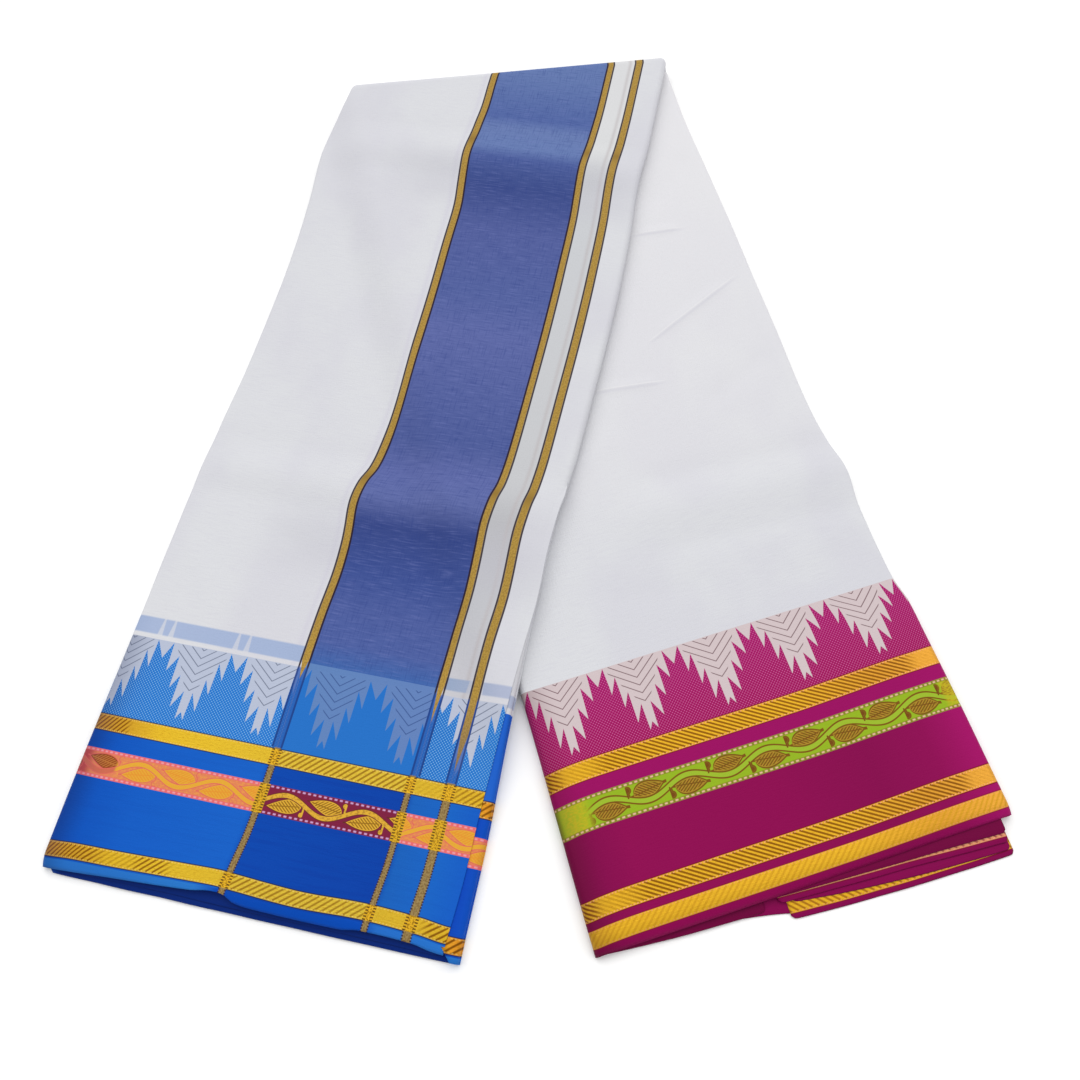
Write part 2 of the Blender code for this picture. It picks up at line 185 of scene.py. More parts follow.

# %% [markdown]
# No cloth lies quite straight. Each row of these tables says how far the left edge, the middle and
# the right edge stray from a straight strip at one place along a leg. The jogs near 260 and 550 mm
# are creases of an earlier fold, where the gold lines step sideways. Short tables are easier
# to read and to change than a sculpted mesh.

# %% How each leg strays
Drift = namedtuple("Drift", "along left middle right plies_right")
BLUE_LEG_DRIFT = (
    Drift(0, -5.2, -10.0, -9.0, 1.5),
    Drift(20, -5.0, -8.0, -7.6, 1.7),
    Drift(40, -4.8, -5.5, -6.5, 1.8),
    Drift(80, -4.0, -3.8, -5.7, 2.0),
    Drift(140, -2.5, -2.2, -2.6, 1.6),
    Drift(175, -0.8, -0.8, -0.8, 1.6),
    Drift(205, 0.4, 1.4, 1.2, 1.8),
    Drift(235, 0.9, 0.9, 1.1, 2.2),
    Drift(255, 1.3, -1.2, 1.6, 2.2),
    Drift(268, 2.0, 0.0, 2.4, 2.4),
    Drift(280, 2.8, 4.2, 4.3, 4.3),
    Drift(300, 4.0, 7.2, 6.6, 6.6),
    Drift(340, 7.2, 9.2, 8.6, 8.6),
    Drift(400, 9.2, 9.6, 10.9, 10.9),
    Drift(450, 8.8, 9.8, 12.0, 12.0),
    Drift(500, 6.4, 9.6, 11.6, 11.6),
    Drift(535, 3.6, 6.8, 9.9, 9.9),
    Drift(555, 3.8, 6.0, 9.9, 9.9),
    Drift(580, 7.0, 8.4, 11.2, 11.2),
    Drift(602, 10.4, 10.6, 11.4, 11.4),
    Drift(622, 12.2, 11.4, 11.4, 11.4),
    Drift(700, 12.2, 11.4, 11.4, 11.4),
)
MAGENTA_LEG_DRIFT = (
    Drift(0, -8.0, -4.0, 0.0, 0.0),
    Drift(60, -7.0, -3.4, 0.2, 0.2),
    Drift(110, -6.0, -3.2, -0.4, -0.4),
    Drift(134, -5.4, -3.2, -0.9, -0.9),
    Drift(150, -5.0, -4.4, -4.0, -4.0),
    Drift(180, -4.6, -4.6, -4.7, -4.7),
    Drift(205, -4.2, -4.0, -3.6, -3.6),
    Drift(228, -3.8, -2.4, -1.2, -1.2),
    Drift(250, -3.4, -3.6, -3.6, -3.6),
    Drift(270, -3.0, -4.0, -5.2, -5.2),
    Drift(300, -2.2, -3.4, -4.5, -4.5),
    Drift(345, -0.8, -1.2, -1.6, -1.6),
    Drift(390, 0.8, 0.6, 0.4, 0.4),
    Drift(440, 2.6, 2.8, 3.0, 3.0),
    Drift(500, 5.0, 5.0, 5.0, 5.0),
    Drift(550, 7.0, 6.6, 6.4, 6.4),
    Drift(590, 9.4, 9.4, 9.6, 9.6),
    Drift(615, 11.4, 11.2, 11.4, 11.4),
    Drift(700, 11.4, 11.2, 11.4, 11.4),
)

print("rows of drift", len(BLUE_LEG_DRIFT), "and", len(MAGENTA_LEG_DRIFT))

# %% [markdown]
# Near its edges and gold lines a woven cloth is tighter, so threads there are pulled a little further
# aside than the cloth around them. Each column is one such place: the left edge, the first line, the
# other two lines and the right edge. Each has a reach, the width of cloth that goes along with it.

# %% Threads pulled aside
Pull = namedtuple("Pull", "along left line lines right")
BLUE_PULL = (
    Pull(0, 2.4, -0.7, -0.4, 0.0),
    Pull(70, 2.2, 0.2, 0.0, 0.0),
    Pull(145, 2.2, 0.0, 0.1, 0.0),
    Pull(190, 0.9, -0.2, 0.5, 0.0),
    Pull(225, 0.9, -0.8, 0.6, 0.0),
    Pull(245, 1.2, -1.8, 0.6, 0.0),
    Pull(266, 1.3, -0.1, 2.2, 0.0),
    Pull(295, 1.3, 0.0, 0.8, 0.0),
    Pull(345, 0.9, 0.7, 0.4, 0.0),
    Pull(395, 0.7, 1.4, 0.8, 0.0),
    Pull(425, 0.9, 1.3, 0.7, 0.0),
    Pull(470, 0.9, 0.6, 0.3, 0.0),
    Pull(500, 0.6, 0.8, 0.3, 0.0),
    Pull(525, 0.0, 0.0, 0.5, 0.0),
    Pull(560, 0.2, -0.6, 0.8, 0.0),
    Pull(595, 1.6, -1.6, 0.9, 0.0),
    Pull(625, 0.6, -3.0, 1.0, 0.0),
)
MAGENTA_PULL = (
    Pull(0, 1.3, 0.0, 0.0, 3.2),
    Pull(100, 1.3, 0.0, 0.0, 2.6),
    Pull(135, 1.0, 0.0, 0.0, 2.4),
    Pull(170, 0.2, 0.0, 0.0, 1.4),
    Pull(250, 0.0, 0.0, 0.0, 0.8),
    Pull(400, 0.0, 0.0, 0.0, 1.3),
    Pull(620, 0.0, 0.0, 0.0, 0.8),
)
EDGE_PULL_REACH = 24.0
LINE_PULL_AT = 116.0
LINE_PULL_REACH = 70.0
LINES_PULL_AT = 208.0
LINES_PULL_REACH = 60.0

print("rows of pull", len(BLUE_PULL), "and", len(MAGENTA_PULL))

# %% [markdown]
# The woven edge at each hem isn't straight as a ruler. Each row says how far along the leg the hem
# starts at one place across it. It could be left straight, but then the ends would look cut out.

# %% The line of each hem
Hem = namedtuple("Hem", "across along")
BLUE_HEM = (
    Hem(0, -2.0),
    Hem(50, 0.4),
    Hem(98, 3.4),
    Hem(109, 5.2),
    Hem(118, 4.9),
    Hem(125, 1.8),
    Hem(137, 0.6),
    Hem(188, 0.6),
    Hem(198, 2.2),
    Hem(228, 1.8),
    Hem(238, 0.0),
    Hem(246, -0.6),
)
MAGENTA_HEM = (
    Hem(0, -2.0),
    Hem(90, -2.0),
    Hem(160, -1.2),
    Hem(246, -0.6),
)
print("places along the hems", len(BLUE_HEM), "and", len(MAGENTA_HEM))

# %% [markdown]
# Creases are what make flat cotton look like cotton. Each row below is one soft ridge, or a trough
# where its height is below zero: where it starts and ends on the leg, how high it is and how wide.
# They could be drawn in a bump map, but as shape they also bend the outline and catch real light.

# %% Creases
Crease = namedtuple("Crease", "across along to_across to_along height width")
BLUE_CREASES = (
    Crease(-30, 262, 280, 267, 1.5, 13),
    Crease(-30, 243, 280, 247, -0.5, 8),
    Crease(-30, 284, 280, 290, -0.45, 9),
    Crease(-30, 545, 280, 552, 1.4, 14),
    Crease(-30, 524, 280, 530, -0.5, 9),
    Crease(-30, 571, 280, 577, -0.4, 8),
    Crease(80, 600, 104, 400, -0.8, 7),
    Crease(96, 480, 72, 330, 0.6, 9),
    Crease(18, 430, 42, 300, 0.3, 10),
    Crease(30, 236, 98, 214, -0.35, 7),
    Crease(8, 212, 60, 160, 0.3, 8),
    Crease(150, 470, 190, 330, 0.25, 12),
    Crease(232, 520, 226, 300, 0.3, 6),
    Crease(140, 190, 200, 172, 0.25, 9),
    Crease(10, 520, 60, 505, -0.3, 7),
)
MAGENTA_CREASES = (
    Crease(75, 240, 280, 226, 1.6, 14),
    Crease(90, 262, 280, 248, -0.7, 9),
    Crease(90, 212, 280, 200, -0.7, 8),
    Crease(228, 395, 156, 363, 0.9, 3.5),
    Crease(207, 450, 173, 455, 0.8, 3),
    Crease(154, 329, 107, 336, 0.8, 3.5),
    Crease(240, 330, 170, 300, -0.6, 8),
    Crease(120, 300, 60, 280, 0.5, 9),
    Crease(236, 520, 190, 470, -0.6, 9),
    Crease(60, 190, 150, 178, -0.3, 8),
    Crease(180, 176, 232, 190, 0.3, 7),
)
print("creases", len(BLUE_CREASES), "and", len(MAGENTA_CREASES))

# %% [markdown]
# A cloth bends smoothly from one measured place to the next. So each table is read through a smooth
# curve, and a few rows are enough. Straight lines between the rows would show as kinks.

# %% Reading a table smoothly
def mix(a, b, share):
    return a + (b - a) * share


def smooth(share):
    share = min(max(share, 0.0), 1.0)
    return share * share * (3 - 2 * share)


def read_table(rows, place, value, at):
    """A smooth curve through one column of a table, read at a place in another."""
    places = [getattr(row, place) for row in rows]
    values = [getattr(row, value) for row in rows]
    at = min(max(at, places[0]), places[-1])
    i = next(k for k in range(len(rows) - 1) if at <= places[k + 1])

    def slope(k):
        if k in (0, len(rows) - 1):
            return 0.0
        return (values[k + 1] - values[k - 1]) / (places[k + 1] - places[k - 1])

    span = places[i + 1] - places[i]
    u = (at - places[i]) / span
    return (
        values[i] * (1 + 2 * u) * (1 - u) ** 2
        + values[i + 1] * u * u * (3 - 2 * u)
        + slope(i) * span * u * (1 - u) ** 2
        - slope(i + 1) * span * u * u * (1 - u)
    )


print("left edge of the magenta leg strays", read_table(MAGENTA_LEG_DRIFT, "along", "left", 0), "mm")

# %% [markdown]
# Each leg of the V keeps its tables together, so that every helper works on either leg. The helpers
# below turn a place on a leg into a place on the floor plan: first the stray of the threads, then
# the leg's own turn out of the middle of the V.

# %% Where a place on a leg lies in plan
Leg = namedtuple("Leg", "side drift pull hem creases lifted")
BLUE_LEG = Leg(-1, BLUE_LEG_DRIFT, BLUE_PULL, BLUE_HEM, BLUE_CREASES, True)
MAGENTA_LEG = Leg(1, MAGENTA_LEG_DRIFT, MAGENTA_PULL, MAGENTA_HEM, MAGENTA_CREASES, False)
PullPlace = namedtuple("PullPlace", "column middle reach sign")
PULL_PLACES = (
    PullPlace("left", 0.0, EDGE_PULL_REACH, 1.0),
    PullPlace("line", LINE_PULL_AT, LINE_PULL_REACH, 1.0),
    PullPlace("lines", LINES_PULL_AT, LINES_PULL_REACH, 1.0),
    PullPlace("right", STRIP_WIDTH / MM, EDGE_PULL_REACH, -1.0),
)


def pulled(leg, across, along):
    """How far the threads near the edges and the gold lines are pulled aside, in millimetres."""
    total = 0.0
    for pull in PULL_PLACES:
        share = smooth(1 - abs(across / MM - pull.middle) / pull.reach)
        if share:
            total += pull.sign * share * read_table(leg.pull, "along", pull.column, along / MM)
    return total


def drift(leg, across, along, right="right"):
    """The sideways stray of a point of a leg, a parabola through its left, middle and right."""
    left, middle, end = (
        read_table(leg.drift, "along", column, along / MM) for column in ("left", "middle", right)
    )
    v = across / STRIP_WIDTH
    bow = left * (1 - v) * (1 - 2 * v) + middle * 4 * v * (1 - v) + end * v * (2 * v - 1)
    return (bow + pulled(leg, across, along)) * MM


def ground(leg, across, along, right="right"):
    """Where a point of a leg lies in plan."""
    off_centre = across - STRIP_WIDTH / 2 + drift(leg, across, along, right)
    run = LEG_LENGTH - along
    x = leg.side * math.sin(LEG_SPREAD) * run + math.cos(LEG_SPREAD) * off_centre
    y = -math.cos(LEG_SPREAD) * run + leg.side * math.sin(LEG_SPREAD) * off_centre
    return x, y


def reach_to_fold(leg, across):
    """How far along a leg the round fold starts, on a line a little askew to the middle of the V."""
    off_centre = across - STRIP_WIDTH / 2 + drift(leg, across, LEG_LENGTH)
    sideways = leg.side * math.sin(LEG_SPREAD)
    over = off_centre * (sideways - FOLD_TILT * math.cos(LEG_SPREAD)) - FOLD_START
    return LEG_LENGTH - over / (math.cos(LEG_SPREAD) + FOLD_TILT * sideways)


print("fold line reached at", round(reach_to_fold(BLUE_LEG, STRIP_WIDTH / 2), 3), "m")

# %% [markdown]
# The blue leg lies on the magenta one and comes down beside it to the floor, so its underside has a
# height of its own everywhere. Creases and the slight waves of handled cotton are added on top. A
# cloth simulation could settle the leg too, but a smooth ramp is exact and easy to change.

# %% Heights on a leg
CREASE_REACH = 3
CREASE_ENDS = 4
UNEVEN_HEIGHT = 0.22 * MM
UNEVEN_SPREAD = 0.045
UNEVEN_LONGER = 0.6
UNEVEN_APART = 7.0


def floor_of(leg, x, y):
    """The height that a leg's underside rests at."""
    if not leg.lifted:
        return 0.0
    along = LEG_LENGTH - (x * math.sin(LEG_SPREAD) - y * math.cos(LEG_SPREAD))
    over = x * math.cos(LEG_SPREAD) + y * math.sin(LEG_SPREAD)
    stray = read_table(MAGENTA_LEG_DRIFT, "along", "left", max(along, 0.0) / MM) * MM
    outside = stray - over - STRIP_WIDTH / 2
    return LIFT * (1 - smooth((outside - RAMP_START) / RAMP_RUN))


def crease_rise(leg, across, along):
    """The height of all the creases of a leg at one place. Each fades out towards its ends."""
    rise = 0.0
    for crease in leg.creases:
        start = Vector((crease.across, crease.along))
        line = Vector((crease.to_across, crease.to_along)) - start
        offset = Vector((across / MM, along / MM)) - start
        share = offset.dot(line) / line.length_squared
        if not 0 < share < 1:
            continue
        aside = (offset - line * share).length / crease.width
        if aside < CREASE_REACH:
            fade = smooth(CREASE_ENDS * share) * smooth(CREASE_ENDS * (1 - share))
            rise += crease.height * MM * fade * math.exp(-aside * aside)
    return rise


def uneven(leg, across, along):
    """The slight waves of soft cloth that was pressed and then handled."""
    run = along / UNEVEN_SPREAD * UNEVEN_LONGER
    return UNEVEN_HEIGHT * noise.noise(Vector((across / UNEVEN_SPREAD, run, leg.side * UNEVEN_APART)))


print("blue leg lifted", LIFT, "m where it lies on the other")

# %% [markdown]
# Plan and height together give a point in space. Past the end of a leg the cloth turns over in a
# round fold, and there the same kind of point is placed by how far it has turned.

# %% Points on a leg and on the round fold
def on_leg(leg, across, along, height, right="right", riding=0.0):
    """A point at a height over a leg's underside. A riding of 1 lifts it with the creases."""
    x, y = ground(leg, across, along, right)
    rise = 0.0
    if riding:
        rise = riding * (crease_rise(leg, across, along) + uneven(leg, across, along))
    return Vector((x, y + ORIGIN_BELOW_FOLD, floor_of(leg, x, y) + height + rise))


def on_fold(across, turn, height):
    """A point on the round fold. Turn runs from 0, on the blue leg, to 1, on the magenta leg."""
    start, end = (ground(leg, across, reach_to_fold(leg, across)) for leg in (BLUE_LEG, MAGENTA_LEG))
    radius = INNER_RADIUS + height
    out = radius * math.sin(math.pi * turn)
    x = mix(start[0], end[0], turn) - FOLD_TILT * out
    y = mix(start[1], end[1], turn) + ORIGIN_BELOW_FOLD + out
    return Vector((x, y, FOLD_CENTRE + radius * math.cos(math.pi * turn)))


print("top of the fold", round(on_fold(STRIP_WIDTH / 2, 0.0, TOP).z, 4), "m")

# %% [markdown]
# The top ply goes over the stack like a cover, rolls round each long edge and tucks in under the
# fold. One cut across it is a line of points, and for each the distance run over the cloth, which
# later places the woven pattern. A grid of such lines is the simplest sheet, and it keeps its
# threads straight, which a cloth simulation would not.

# %% The cut across the top ply
EDGE_RADIUS = 4.4 * MM
EDGE_STEPS = 9
TUCK_RADIUS = 0.9 * MM
TUCK_STEPS = 4
TUCK_DEPTH = 3.0 * MM
LAID_DOWN = 0.6 * MM
LAID_RUN = 24 * MM
COLUMN = 2.6 * MM

Cut = namedtuple("Cut", "across height over")


def rolled_edge():
    """Points from the flat top round a folded edge: how far in, how far down, how far over."""
    points = []
    for k in range(1, EDGE_STEPS + 1):
        angle = math.pi / 2 * k / EDGE_STEPS
        inward = EDGE_RADIUS * (1 - math.sin(angle))
        down = EDGE_RADIUS * (1 - math.cos(angle))
        points.append((inward, down, EDGE_RADIUS * angle))
    over = points[-1][2]
    for k in range(1, TUCK_STEPS + 1):
        angle = math.pi / 2 * k / TUCK_STEPS
        inward = TUCK_RADIUS * (1 - math.cos(angle))
        down = EDGE_RADIUS + TUCK_RADIUS * math.sin(angle)
        points.append((inward, down, over + TUCK_RADIUS * angle))
    last = points[-1]
    points.append((TUCK_DEPTH, last[1], last[2] + TUCK_DEPTH - last[0]))
    return points


def top_ply_cut(wrap_right):
    """The top ply from its tucked left edge to its right one, which may lie flat instead."""
    edge = rolled_edge()
    cut = [Cut(inward, TOP - down, EDGE_RADIUS - over) for inward, down, over in reversed(edge)]
    flat_width = STRIP_WIDTH - 2 * EDGE_RADIUS
    count = round(flat_width / COLUMN)
    laid = LAID_DOWN * (1 - wrap_right)
    for k in range(count + 1):
        across = EDGE_RADIUS + flat_width * k / count
        down = laid * smooth((across - STRIP_WIDTH + LAID_RUN) / LAID_RUN)
        cut.append(Cut(across, TOP - down, across))
    for k, (inward, down, over) in enumerate(edge, start=1):
        flat = STRIP_WIDTH - EDGE_RADIUS + EDGE_RADIUS * k / len(edge)
        rolled = STRIP_WIDTH - inward
        spread = mix(flat, STRIP_WIDTH - EDGE_RADIUS + over, wrap_right)
        cut.append(Cut(mix(flat, rolled, wrap_right), TOP - laid - wrap_right * down, spread))
    return cut


print("points across the top ply", len(top_ply_cut(1.0)))

# %% [markdown]
# The woven bands waver a few millimetres near the hem, because the weft is never quite level there.
# The rows say how far they are shifted at each place across. The shift grows in, holds and fades out
# again along the leg. It could move the cloth itself, but only its pattern wavers, not its outline.

# %% How the bands waver
Shift = namedtuple("Shift", "across shift")
BLUE_BAND_SHIFT = (
    Shift(0, -1.3),
    Shift(20, -0.3),
    Shift(50, 0.5),
    Shift(100, 2.4),
    Shift(112, 2.7),
    Shift(122, 2.2),
    Shift(160, 0.8),
    Shift(197, 2.2),
    Shift(229, 1.2),
    Shift(246, -0.4),
)
MAGENTA_BAND_SHIFT = (
    Shift(0, -2.0),
    Shift(12, -0.8),
    Shift(30, 0.0),
    Shift(150, 0.1),
    Shift(180, 0.8),
    Shift(215, 1.8),
    Shift(246, 1.9),
)
Waver = namedtuple("Waver", "shifts grows_from full_from full_until none_from")
BLUE_WAVER = Waver(BLUE_BAND_SHIFT, -100, -50, 18, 48)
MAGENTA_WAVER = Waver(MAGENTA_BAND_SHIFT, -60, 60, 104, 146)


def weave_place(waver, over, along):
    """Where a point lies in the weave: the bands waver a little."""
    shift = read_table(waver.shifts, "across", "shift", over / MM) * MM
    place = along / MM
    grown = smooth((place - waver.grows_from) / (waver.full_from - waver.grows_from))
    faded = smooth((place - waver.full_until) / (waver.none_from - waver.full_until))
    return (over, along - shift * grown * (1 - faded))


print("bands waver by up to", max(row.shift for row in BLUE_BAND_SHIFT), "mm")

# %% [markdown]
# A sheet of cloth is one layer of faces through rows of points. Each corner also keeps its place in
# the weave, in a UV map named cloth, which is what the materials will read. A Solidify modifier gives
# the layer its thickness, which is simpler than building a second layer beneath it.

# %% One layer of cloth
COTTON = 0.55 * MM


def smooth_in_weave(mesh, uv_layer, vertices, weave):
    """Smooths the faces, and writes the place in the weave of each of their corners."""
    places = {}
    for row, row_weave in zip(vertices, weave):
        places.update(zip(row, row_weave))
    for face in mesh.faces:
        face.smooth = True
        for loop in face.loops:
            loop[uv_layer].uv = places[loop.vert]


def sheet_object(name, rows, weave):
    """One layer of quads through rows of points, with the thickness of the cotton."""
    mesh = bmesh.new()
    uv_layer = mesh.loops.layers.uv.new("cloth")
    vertices = [[mesh.verts.new(point) for point in row] for row in rows]
    for low, high in zip(vertices, vertices[1:]):
        for k in range(len(low) - 1):
            mesh.faces.new((low[k], low[k + 1], high[k + 1], high[k]))
    smooth_in_weave(mesh, uv_layer, vertices, weave)
    piece = object_from(mesh, name)
    solid = piece.modifiers.new("cotton", "SOLIDIFY")
    solid.thickness = COTTON
    solid.offset = -1
    return piece


print("cotton", COTTON, "m thick")

# %% [markdown]
# Rows of the cuts, from the hem to the fold, make the two faces. The hem end droops a little, because
# nothing holds it up there. On the blue leg the rows go on round the fold and down behind it, and
# its right edge lies open near the hem, as in the photo, and rolls over only further up.

# %% The two faces
ROW = 2.7 * MM
DROOP = 2.2 * MM
HEM_ROWS = 5
FOLD_ROWS = 24
FOLD_COVER = 0.79
RIGHT_EDGE_FREE_UNTIL = 262 * MM
RIGHT_EDGE_ROLLED_FROM = 292 * MM


def leg_rows(leg, waver, wraps):
    """Rows of points from a leg's hem to its fold, and their places in the weave."""
    whole = reach_to_fold(leg, STRIP_WIDTH / 2)
    count = round(whole / ROW)
    start = HEM_OVERHANG / whole
    shares = [start * k / HEM_ROWS for k in range(HEM_ROWS)]
    shares += [mix(start, 1.0, k / count) for k in range(count + 1)]
    rows = []
    weave = []
    for share in shares:
        row = []
        row_weave = []
        for across, height, over in top_ply_cut(wraps(share * whole)):
            reach = reach_to_fold(leg, across)
            hem = read_table(leg.hem, "across", "along", across / MM) * MM
            along = reach * share if share >= start else mix(hem, reach * start, share / start)
            out = max(0.0, 1 - along / HEM_OVERHANG)
            row.append(on_leg(leg, across, along, height - DROOP * out * out, riding=1.0))
            row_weave.append(weave_place(waver, over, along))
        rows.append(row)
        weave.append(row_weave)
    return rows, weave


def right_edge_rolled(along):
    return smooth((along - RIGHT_EDGE_FREE_UNTIL) / (RIGHT_EDGE_ROLLED_FROM - RIGHT_EDGE_FREE_UNTIL))


def fold_rows():
    """Rows that carry the blue leg's top ply round the fold and down behind it."""
    rows = []
    weave = []
    cut = top_ply_cut(1.0)
    for k in range(1, FOLD_ROWS + 1):
        turn = FOLD_COVER * k / FOLD_ROWS
        run = math.pi * turn * (INNER_RADIUS + TOP)
        rows.append([on_fold(across, turn, height) for across, height, over in cut])
        weave.append([(over, reach_to_fold(BLUE_LEG, across) + run) for across, height, over in cut])
    return rows, weave


blue_rows, blue_weave = leg_rows(BLUE_LEG, BLUE_WAVER, right_edge_rolled)
round_rows, round_weave = fold_rows()
blue_cloth = sheet_object("blue_end_cloth", blue_rows + round_rows, blue_weave + round_weave)
magenta_rows, magenta_weave = leg_rows(MAGENTA_LEG, MAGENTA_WAVER, lambda along: 1.0)
magenta_cloth = sheet_object("magenta_end_cloth", magenta_rows, magenta_weave)
print("rows", len(blue_rows) + len(round_rows), "and", len(magenta_rows))

# %% [markdown]
# Beneath the top ply lie the others, folded edge on folded edge. Only their sides show, so one
# ribbon from hem to hem stands for them all. Its side is a row of small rounds, one for each fold,
# and each runs in and out a little on its own, which is how a stack of folds looks. Where the blue
# leg's right edge lies open, the next fold shows as one wide round under it.

# %% The cut across the plies between
RIBBON_COLUMNS = 22
SIDE_FOLD_TOP = 3.1 * MM
TUCKED_INSET = 3.7 * MM
RIBBON_TOP_INSET = 1.5 * MM
WIDE_ROUND = 3.5 * MM
WIDE_ROUND_INSET = 1.2 * MM
WIDE_STEPS = 7
LEFT_FOLD_INSETS = (0.7, 1.3, 0.9)
RIGHT_FOLD_INSETS = (1.1, 0.6, 1.4)
LEFT_SEED = 47.0
RIGHT_SEED = 11.0
SEED_STEP = 3.7
FOLD_WANDER = 0.45 * MM
WANDERS_PER_METRE = 22
WANDER_LEVEL = 0.5
FOLD_GROOVE = 0.75 * MM
FoldPoint = namedtuple("FoldPoint", "down groove")
FOLD_ROUND = (
    FoldPoint(0.04, 1.0),
    FoldPoint(0.2, 0.2),
    FoldPoint(0.5, 0.0),
    FoldPoint(0.8, 0.2),
    FoldPoint(0.96, 1.0),
)


def ribbon_side(insets, open_share, along, seed):
    """One side of the ribbon from its top to its underside, as pairs of inset and height."""
    points = []
    for k in range(WIDE_STEPS + 1):
        share = k / WIDE_STEPS
        angle = math.pi / 2 * share
        wide = WIDE_ROUND_INSET + WIDE_ROUND * (1 - math.sin(angle))
        wide_height = PLIES - WIDE_ROUND * (1 - math.cos(angle))
        tucked_height = mix(PLIES, SIDE_FOLD_TOP, share)
        points.append((mix(TUCKED_INSET, wide, open_share), mix(tucked_height, wide_height, open_share)))
    fold = SIDE_FOLD_TOP / len(insets)
    for k, inset in enumerate(insets):
        place = Vector((along * WANDERS_PER_METRE, seed + SEED_STEP * k, WANDER_LEVEL))
        out = inset * MM + FOLD_WANDER * noise.noise(place)
        top = SIDE_FOLD_TOP - fold * k
        for down, groove in FOLD_ROUND:
            points.append((out + groove * FOLD_GROOVE, top - down * fold))
    return points


print("folds along each side", len(LEFT_FOLD_INSETS))

# %% [markdown]
# A whole cut goes across the top of the stack, down its right side, back beneath and up its left side.
# On the far side of the fold the same stack lies upside down, so the cut is turned over there and
# not built a second time.

# %% The whole cut, and the same cut turned over
def ribbon_ring(along, open_share):
    """The ribbon's cut: across its top, down its right side, back below and up its left side."""
    right = ribbon_side(RIGHT_FOLD_INSETS, open_share, along, RIGHT_SEED)
    left = ribbon_side(LEFT_FOLD_INSETS, 0.0, along, LEFT_SEED)
    low = TUCKED_INSET + RIBBON_TOP_INSET
    high = STRIP_WIDTH - TUCKED_INSET - RIBBON_TOP_INSET
    places = [mix(low, high, k / RIBBON_COLUMNS) for k in range(RIBBON_COLUMNS + 1)]
    ring = [(across, PLIES) for across in places]
    ring += [(STRIP_WIDTH - inset, height) for inset, height in right]
    ring += [(across, 0.0) for across in reversed(places)]
    ring += [(inset, height) for inset, height in reversed(left)]
    return ring


def flip_ring(ring):
    """The same cut seen from the far side of the fold, where its underside is on top."""
    top = RIBBON_COLUMNS + 1
    side = (len(ring) - 2 * top) // 2
    above = ring[:top]
    right = ring[top : top + side]
    left = ring[2 * top + side :]
    turned = [(across, 0.0) for across, height in above]
    turned += list(reversed(right))
    turned += [(across, PLIES) for across, height in reversed(above)]
    turned += list(reversed(left))
    return [(across, PLIES - height) for across, height in turned]


print("points round the ribbon", len(ribbon_ring(0.0, 0.0)))

# %% [markdown]
# The ribbon runs from the blue hem up its leg, round the fold and down the magenta leg, where its
# underside has become its top. Each ring of points has a mark, which says whether it is finished with
# its piece's first weave or its second. Two ribbons would leave a seam inside the fold.

# %% Rings along a leg
RIBBON_ROW = 5.0 * MM
RIBBON_START = 10 * MM
FOLD_END = -3.6 * MM
FOLD_END_FROM = 232 * MM
FOLD_END_RUN = 6 * MM
BANDS_NEARER_HEM = 5.0 * MM
NEXT_FOLD_ACROSS = 20 * MM
FIRST_MARK = 0
SECOND_MARK = 1
Ring = namedtuple("Ring", "points weave mark")


def ribbon_start(leg, across):
    """Where the ribbon ends near a hem. The blue leg's right fold reaches past its hem."""
    if leg is MAGENTA_LEG:
        return RIBBON_START
    return mix(RIBBON_START, FOLD_END, smooth((across - FOLD_END_FROM) / FOLD_END_RUN))


def ribbon_leg_ring(leg, whole, share):
    """The ring at a share of the way from a leg's hem to its fold."""
    along = share * whole
    if leg is BLUE_LEG:
        cut = ribbon_ring(along, 1 - right_edge_rolled(along))
    else:
        cut = flip_ring(ribbon_ring(along, 0.0))
    points = []
    weave = []
    for across, level in cut:
        height = level if leg is BLUE_LEG else PLIES - level
        right = "plies_right" if across > STRIP_WIDTH / 2 else "right"
        at = mix(ribbon_start(leg, across), reach_to_fold(leg, across), share)
        points.append(on_leg(leg, across, at, height, right, max(height, 0.0) / PLIES))
        weave.append((across + NEXT_FOLD_ACROSS, at + BANDS_NEARER_HEM))
    return Ring(points, weave, FIRST_MARK if leg is BLUE_LEG else SECOND_MARK)


def rings_up(leg):
    """All rings of a leg, from its hem to its fold."""
    whole = reach_to_fold(leg, STRIP_WIDTH / 2)
    count = round(whole / RIBBON_ROW)
    return [ribbon_leg_ring(leg, whole, k / count) for k in range(count + 1)]


print("a ring every", RIBBON_ROW, "m")

# %% [markdown]
# Round the fold the cut has to turn from the blue leg's into the magenta leg's. It does so late, in
# the part that lies beneath, where nobody sees it. Then the three runs of rings are put together.

# %% Rings round the fold, and the whole ribbon
CUT_TURNS_FROM = 0.6
CUT_TURNS_OVER = 0.4
ROUND_RUN = 0.03
RIBBON_FOLD_ROWS = 18


def ribbon_round_rings(whole):
    """Rings round the fold, where the cut turns from one leg's into the other's."""
    before = ribbon_ring(whole, 0.0)
    after = flip_ring(before)
    rings = []
    for k in range(1, RIBBON_FOLD_ROWS + 1):
        turn = k / (RIBBON_FOLD_ROWS + 1)
        share = smooth((turn - CUT_TURNS_FROM) / CUT_TURNS_OVER)
        cut = [(mix(a[0], b[0], share), mix(a[1], b[1], share)) for a, b in zip(before, after)]
        points = [on_fold(across, turn, level) for across, level in cut]
        weave = [(across + NEXT_FOLD_ACROSS, whole + turn * ROUND_RUN) for across, level in cut]
        rings.append(Ring(points, weave, FIRST_MARK))
    return rings


